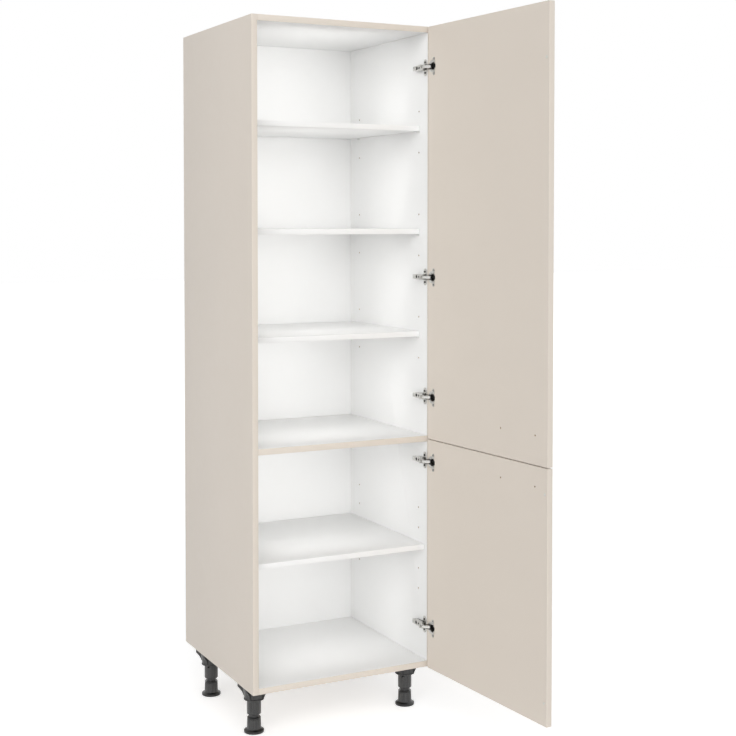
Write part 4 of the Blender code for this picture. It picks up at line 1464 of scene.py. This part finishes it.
    def cup(self) -> Mesh:
        """Pressed cup with a rounded flange, lugs, notches and two screws, as on the closed door."""
        lift, top, round_by = FIT, FIT + self.flange, self.flange_rounding
        radius, depth, bend = self.cup_radius, self.cup_depth, 2 * self.flange_rounding
        bowl_radius, bowl_depth = radius - self.cup_wall, depth - self.cup_wall
        profile = [
            (0, top),
            *rim(self.flange_radius, top, round_by),
            (self.flange_radius, lift),
            (radius, lift),
            (radius, bend - depth),
            (radius - bend, -depth),
            (0, -depth),
        ]
        bowl = [
            (0, top + OVERRUN),
            (bowl_radius, top + OVERRUN),
            (bowl_radius, bend - bowl_depth),
            (bowl_radius - bend, -bowl_depth),
            (0, -bowl_depth),
        ]
        half = self.ear_spacing / 2
        ears = moved(plate(stadium(-self.ear_offset, half, self.ear_radius), lift, top - FIT / 2), Z_TO_Y)
        pivot = self.door.cup_pivot
        lugs = []
        for side in (-1, 1):
            low, high = sorted((side * self.lug_inner, side * radius))
            lugs.append(block((pivot.x - self.lug_half, -depth, low), (pivot.x + self.lug_half, top, high)))
        wide = bar((-radius, self.link_mouth_start), (-depth, depth), self.mouth_half)
        narrow = bar((0, radius), (-depth, depth), self.link_mouth_half)
        mouth = carved(
            moved(turned(bowl, self.sides), Z_TO_Y),
            (carved(wide, (narrow, Cut.JOIN)), Cut.KEEP_COMMON),
            (joined(lugs), Cut.REMOVE),
        )
        # The mouth is split where the cup's dark inside begins, for the damper housing and painted shade.
        mouth = sliced(mouth, [((0, -self.housing_shade_top, 0), (0, 1, 0))])
        beyond, above = radius + self.flange_radius, top + OVERRUN
        notch_half = self.tip_half + self.notch_clearance
        notch = bar((-beyond, -radius / 2), (-self.notch_depth, above), notch_half)
        link_half = self.link_inner + self.link_sheet + FIT
        link_notch = bar((pivot.x + self.lug_half - FIT, beyond), (-self.link_notch, above), link_half)
        mesh = carved(
            moved(turned(profile, self.sides), Z_TO_Y),
            (ears, Cut.JOIN),
            (mouth, Cut.REMOVE),
            self.bore(pivot, self.lug_inner + self.link_sheet + FIT),
            (notch, Cut.REMOVE),
            (link_notch, Cut.REMOVE),
        )
        head = CrossScrew(self.screw_radius, 2 * FIT + self.flange).mesh()
        screws = [
            moved(head, Matrix.Translation((-self.ear_offset, top - 2 * FIT, z)) @ Z_TO_Y)
            for z in (-half, half)
        ]

        def choose(middle: Vector, normal: Vector) -> Finish:
            """Finish of a face of the cup: deep inside it is dark, for the damper housing and as painted
            shade; the rest is plated.
            """
            inside = math.hypot(middle.x, middle.z) < bowl_radius + self.cup_wall / 10
            return CUP_HOUSING_AND_SHADE if inside and middle.y < -self.housing_shade_top else NICKEL

        return joined([painted(mesh, choose), *screws])

    def build(self) -> None:
        """All hinges of the door, from one set of meshes."""
        door = self.door
        at_corner = Matrix.Translation(self.corner)
        on_door = door.opened() @ Matrix.Translation(door.cup_centre)
        pieces = {
            "mounting_plate": (moved(self.mounting_plate(), at_corner), "carcass"),
            "arm": (moved(self.arm(), at_corner), "carcass"),
            "outer_link": (moved(self.outer_link(), at_corner), f"{door.name}_outer_links"),
            "inner_link": (moved(self.inner_link(), at_corner), f"{door.name}_inner_links"),
            "cup": (moved(self.cup(), on_door), door.body),
        }
        for hinge, height in door.hinges().items():
            level = Matrix.Translation((0, 0, height))
            for piece, (mesh, body) in pieces.items():
                node = f"{hinge}_{piece}"
                add_piece(f"{node}_steel", moved(mesh, level), body, (node,))


def smooth_line(knots: list[Vector], steps: int) -> list[Vector]:
    """Points on a smooth line through knots.

    Args:
        knots: the points that it passes through.
        steps: how many points each stretch between two knots has.

    Returns:
        The points, from the first knot to the last.
    """
    padded = [2 * knots[0] - knots[1], *knots, 2 * knots[-1] - knots[-2]]
    points = []
    for before, start, end, after in zip(padded, padded[1:], padded[2:], padded[3:]):
        for step in range(steps):
            t = step / steps
            points.append(
                0.5
                * (
                    2 * start
                    + (end - before) * t
                    + (2 * before - 5 * start + 4 * end - after) * t * t
                    + (3 * start - before - 3 * end + after) * t ** 3
                )
            )
    return [*points, knots[-1]]


@dataclass
class AdjustableFoot:
    """Foot under the bottom panel: bell socket, hollow leg and foot with a ribbed sleeve and a disc."""

    name: str
    plate: float = 0.078
    plate_thickness: float = 0.004
    plate_corner: float = 0.004
    socket_height: float = 0.045
    bell_top_radius: float = 0.0335
    bell_foot_radius: float = 0.0288
    rim_radius: float = 0.031
    rim_height: float = 0.0035
    gusset: float = 0.004
    gusset_reach_and_drop: tuple = ((0.053, 0.013), (0.047, 0.018), (0.038, 0.028), (0.0335, 0.037))
    gusset_steps: int = 4
    peg_radius: float = 0.003
    peg_end_radius: float = 0.0024
    peg_length: float = 0.002
    peg_circle: float = 0.0272
    peg_sides: int = 20
    screw_radius: float = 0.0036
    screw_height: float = 0.0013333
    screw_place: tuple[float, float] = (0.0334, 0.0222)
    leg_radius: float = 0.0215
    leg_top: float = 0.010
    leg_chamfer: float = 0.0035
    leg_end: float = 0.0915
    leg_end_radius: float = 0.0175
    leg_turn: float = 0.0
    hole_radius: float = 0.0045
    hole_drop: float = 0.049
    hole_sides: int = 32
    stem_radius: float = 0.0142
    stem_top: float = 0.030
    bore_top: float = 0.020
    sleeve_top: float = 0.0995
    sleeve_band: float = 0.005
    sleeve_top_radius: float = 0.0205
    sleeve_foot_radius: float = 0.0213
    sleeve_end: float = 0.1345
    disc_radius: float = 0.0303
    disc_rim: float = 0.0080
    disc_edge: float = 0.0015
    ribs: int = 18
    rib_depth_share: float = 0.94
    rib_wave: float = -0.2
    sides: int = 96
    rounding: float = 0.0005

    def centre(self) -> Vector:
        """Middle of the foot at the height of the bottom panel's underside."""
        low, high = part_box(f"{self.name}_foot")
        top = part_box("bottom_panel")[0].z
        return Vector(((low.x + high.x) / 2, (low.y + high.y) / 2, top))

    def floor_depth(self) -> float:
        """How far below the bottom panel the disc stands."""
        return self.centre().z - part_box(f"{self.name}_foot")[0].z

    def socket(self) -> Mesh:
        """Square plate with rounded corners, bell, gussets, rim with pegs and screw heads."""
        inset, small = self.plate / 2 - self.plate_corner, self.rounding
        outline = []
        for quarter in range(4):
            start = quarter * QUARTER
            centre = Matrix.Rotation(start, 2) @ Vector((inset, inset))
            outline += arc(centre, self.plate_corner, start, start + QUARTER, 6)
        top, bottom = -self.plate_thickness / 2, -self.socket_height
        rim_top = bottom + self.rim_height
        profile = [
            (0, top),
            (self.bell_top_radius + small * 3, top),
            (self.bell_top_radius, -self.plate_thickness - small * 3),
            (self.bell_foot_radius, rim_top),
            (self.rim_radius - small, rim_top),
            (self.rim_radius, rim_top - small),
            (self.rim_radius, bottom + small),
            (self.rim_radius - small, bottom),
            (0, bottom),
        ]
        knots = [Vector((reach, -drop, 0)) for reach, drop in self.gusset_reach_and_drop]
        flare = [(knots[0].x, top), *[point.xy[:] for point in smooth_line(knots, self.gusset_steps)]]
        flare.append((self.rim_radius - FIT, rim_top - FIT))
        across = [(-reach, height) for reach, height in flare] + flare[::-1]
        fin = plate(across, -self.gusset / 2, self.gusset / 2, Plane.SIDE)
        diagonals = [Matrix.Rotation(eighth * QUARTER / 2, 4, "Z") for eighth in (1, 3, 5, 7)]
        steps = [(turned(profile, self.sides), Cut.JOIN)]
        steps += [(moved(fin, turn), Cut.JOIN) for turn in diagonals[:2]]
        for turn in diagonals:
            start = turn @ Vector((self.peg_circle, 0, bottom + self.rim_height / 2))
            end = turn @ Vector((self.peg_circle, 0, bottom - self.peg_length))
            peg = rod(start, end, self.peg_radius, self.peg_sides, self.peg_end_radius)
            steps.append((peg, Cut.JOIN))
        leg_room = self.leg_radius + FIT
        bore = rod((0, 0, FIT - self.leg_top), (0, 0, bottom - OVERRUN), leg_room, self.sides)
        base = carved(plate(outline, -self.plate_thickness, -FIT), *steps, (bore, Cut.REMOVE))
        over = Matrix.Rotation(math.pi, 4, "X")
        over.translation = (*self.screw_place, -self.plate_thickness)
        head = moved(CrossScrew(self.screw_radius, self.screw_height).mesh(), over)
        screws = [moved(head, Matrix.Rotation(quarter * QUARTER, 4, "Z")) for quarter in range(4)]
        return joined([painted(base, DARK), *screws])

    def leg(self) -> Mesh:
        """Hollow tube with a chamfered end and a screw hole through its wall."""
        inner, outer, small = self.stem_radius + FIT, self.leg_radius, self.rounding
        chamfer = self.leg_chamfer - self.leg_end
        profile = [
            (0, -self.leg_top),
            (outer, -self.leg_top),
            (outer, chamfer + small),
            (outer - small, chamfer - small),
            (self.leg_end_radius, -self.leg_end),
            (inner, -self.leg_end),
            (inner, -self.bore_top),
            (0, -self.bore_top),
        ]
        level = Vector((0, 0, -self.hole_drop))
        outward = Vector((-math.sqrt(0.5), -math.sqrt(0.5), 0))
        ends = level + outward * self.stem_radius, level + outward * (outer + OVERRUN)
        hole = rod(*ends, self.hole_radius, self.hole_sides)
        leg = painted(carved(turned(profile, self.sides), (hole, Cut.REMOVE)), DARK)
        return moved(leg, Matrix.Rotation(self.leg_turn, 4, "Z"))

    def ribbed(self, place: Vector, angle: float) -> float:
        """Scale of the radius that cuts the sleeve's flutes under its band.

        Args:
            place: a point of the turned foot.
            angle: its angle about the axis.

        Returns:
            The scale.
        """
        on_sleeve = self.rounding - self.sleeve_end <= place.z <= -self.sleeve_top - self.sleeve_band
        inside = math.hypot(place.x, place.y) < self.stem_radius + self.rounding
        flute = math.cos(angle * self.ribs) < self.rib_wave
        return self.rib_depth_share if on_sleeve and flute and not inside else 1.0

    def foot(self) -> Mesh:
        """Stem, ribbed sleeve with a plain band at its top, and the disc that stands on the floor."""
        floor, top, small = -self.floor_depth(), -self.sleeve_top, self.rounding
        radius, band = self.sleeve_top_radius, top - self.sleeve_band
        groove = radius - 1.5 * small
        profile = [
            (0, -self.stem_top),
            (self.stem_radius, -self.stem_top),
            (self.stem_radius, top),
            (radius - small, top),
            (radius, top - small),
            (radius, band + 2 * small),
            (groove, band + small),
            (groove, band),
            (radius, band - small),
            (self.sleeve_foot_radius, small - self.sleeve_end),
            (self.sleeve_foot_radius + small, -self.sleeve_end),
            *rim(self.disc_radius, floor + self.disc_rim, self.disc_edge),
            *rim(self.disc_radius, floor, self.disc_edge, -1)[::-1],
            (0, floor),
        ]

        def choose(middle: Vector, normal: Vector) -> Finish:
            """Finish of a face of the foot: darker and glossier on the band and on the disc."""
            return DARK_PAD if middle.z < -self.sleeve_end or band < middle.z < top else DARK

        return painted(turned(profile, self.ribs * 6, self.ribbed), choose)

    def build(self) -> None:
        """The three pieces of the foot, each on its body."""
        place = Matrix.Translation(self.centre())
        for piece, mesh, body in (
            ("socket", self.socket(), "carcass"),
            ("leg", self.leg(), "carcass"),
            ("foot", self.foot(), f"{self.name}_foot_body"),
        ):
            node = f"{self.name}_{piece}"
            add_piece(f"{node}_moulding", moved(mesh, place), body, (node,))


@dataclass(frozen=True)
class SoftLight:
    """Distant soft light, so even that it reaches deep into the carcass. Its angles are in degrees."""

    name: str
    azimuth: float
    height: float
    softness: float
    strength: float

    def build(self) -> None:
        """Light that comes from an azimuth (0 is the front, negative the left) and a height."""
        data = bpy.data.lights.new(self.name, "SUN")
        data.energy = self.strength * math.pi
        data.angle = math.radians(self.softness)
        lamp = placed(self.name, data)
        lamp.visible_glossy = False
        lamp.rotation_euler = (math.radians(90 - self.height), 0, math.radians(self.azimuth))


@dataclass
class ShelfRoomFill:
    """Soft panels in the front of the open rooms between the shelves, shining inwards."""

    faces: CarcassFaces
    spread: float = math.radians(110)
    margin: float = 0.055
    left_margin: float = 0.075
    right_margin: float = 0.115
    rooms: tuple[tuple[str, str, float], ...] = (
        ("bottom_panel", "lower_shelf", 1.24),
        ("lower_shelf", "middle_panel", 1.62),
        ("middle_panel", "upper_shelf_1", 1.86),
        ("upper_shelf_1", "upper_shelf_2", 1.84),
        ("upper_shelf_2", "upper_shelf_3", 1.86),
        ("upper_shelf_3", "top_panel", 2.20),
    )

    def build(self) -> None:
        """One panel for each room, between its floor and its ceiling."""
        left = self.faces.inner(Hand.LEFT) + self.left_margin
        right = self.faces.inner(Hand.RIGHT) - self.right_margin
        for floor, ceiling, strength in self.rooms:
            low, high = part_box(floor)[1].z + self.margin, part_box(ceiling)[0].z - self.margin
            data = bpy.data.lights.new(f"fill_over_{floor}", "AREA")
            data.shape = "RECTANGLE"
            data.size, data.size_y = right - left, high - low
            data.energy = strength * math.pi * (right - left) * (high - low)
            data.spread = self.spread
            panel = placed(data.name, data)
            panel.visible_glossy = False
            panel.location = ((left + right) / 2, self.faces.front, (low + high) / 2)
            panel.rotation_euler = (QUARTER, 0, 0)


@dataclass
class Studio:
    """Pale floor, soft lights and the camera at the photograph's place."""

    camera_place: Vector = field(default_factory=lambda: Vector((-1.80868, -3.68530, 1.53199)))
    yaw: float = math.radians(-27.473)
    pitch: float = math.radians(-1.919)
    roll: float = math.radians(-0.027)
    image_pixels: float = 736
    focal_pixels: float = 1371.61
    centre_pixels: tuple[float, float] = (383.72, 267.22)
    sensor_mm: float = 36.0
    clip_end: float = 200
    floor_size: float = 60.0
    ambience: float = 0.42
    lights: tuple[SoftLight, ...] = (
        SoftLight("camera_light", azimuth=-27, height=4, softness=40, strength=0.175),
        SoftLight("high_light", azimuth=-15, height=38, softness=40, strength=0.27),
        SoftLight("left_light", azimuth=-55, height=12, softness=35, strength=0.26),
    )

    def camera(self) -> None:
        """Camera with the photograph's place, direction, lens and framing."""
        data = bpy.data.cameras.new("camera")
        data.sensor_fit = "HORIZONTAL"
        data.sensor_width = self.sensor_mm
        data.lens = self.focal_pixels / self.image_pixels * self.sensor_mm
        middle = self.image_pixels / 2
        data.shift_x = (middle - self.centre_pixels[0]) / self.image_pixels
        data.shift_y = (self.centre_pixels[1] - middle) / self.image_pixels
        data.clip_end = self.clip_end
        camera = placed("camera", data)
        camera.location = self.camera_place
        camera.rotation_euler = (QUARTER + self.pitch, self.roll, self.yaw)
        bpy.context.scene.camera = camera

    def floor(self) -> None:
        """Floor under the feet."""
        bm = bmesh.new()
        bmesh.ops.create_grid(bm, x_segments=1, y_segments=1, size=self.floor_size / 2)
        bmesh.ops.translate(bm, vec=(0, 0, -FIT), verts=bm.verts)
        mesh = mesh_from(bm)
        mesh.materials.append(StudioFloor("studio_floor").material())
        placed("floor", mesh)

    def world(self) -> None:
        """Even white surroundings, pure white where the camera or a mirror sees them."""
        world = bpy.data.worlds.new("studio")
        bpy.context.scene.world = world
        world.use_nodes = True
        tree = world.node_tree
        background = tree.nodes["Background"]
        strength = tree.nodes.new("ShaderNodeMapRange")
        tree.links.new(seen_or_mirrored(tree), strength.inputs["Value"])
        strength.inputs["To Min"].default_value = self.ambience
        strength.inputs["To Max"].default_value = 1.0
        tree.links.new(strength.outputs["Result"], background.inputs["Strength"])
        background.inputs["Color"].default_value = (1, 1, 1, 1)

    def build(self) -> None:
        """Camera, floor, surroundings and light."""
        self.camera()
        self.floor()
        self.world()
        for light in self.lights:
            light.build()
        bpy.context.scene.view_settings.view_transform = "Standard"


def main() -> None:
    """Build the cabinet's looks piece by piece, then the studio."""
    logging.basicConfig(level=logging.INFO, format="%(name)s: %(message)s")
    faces = CarcassFaces.measured()
    Boards(faces).build()
    upper = DoorLeaf("upper", faces)
    lower = DoorLeaf("lower", faces, handle_inset=0.057, handle_at_low_end=False)
    for door in (upper, lower):
        door.build()
        ConcealedHinge(door).build()
    AdjustableFoot("front_left", leg_turn=math.pi).build()
    for name in ("front_right", "rear_left", "rear_right"):
        AdjustableFoot(name).build()
    ShelfRoomFill(faces).build()
    Studio().build()


if __name__ == "__main__":
    main()
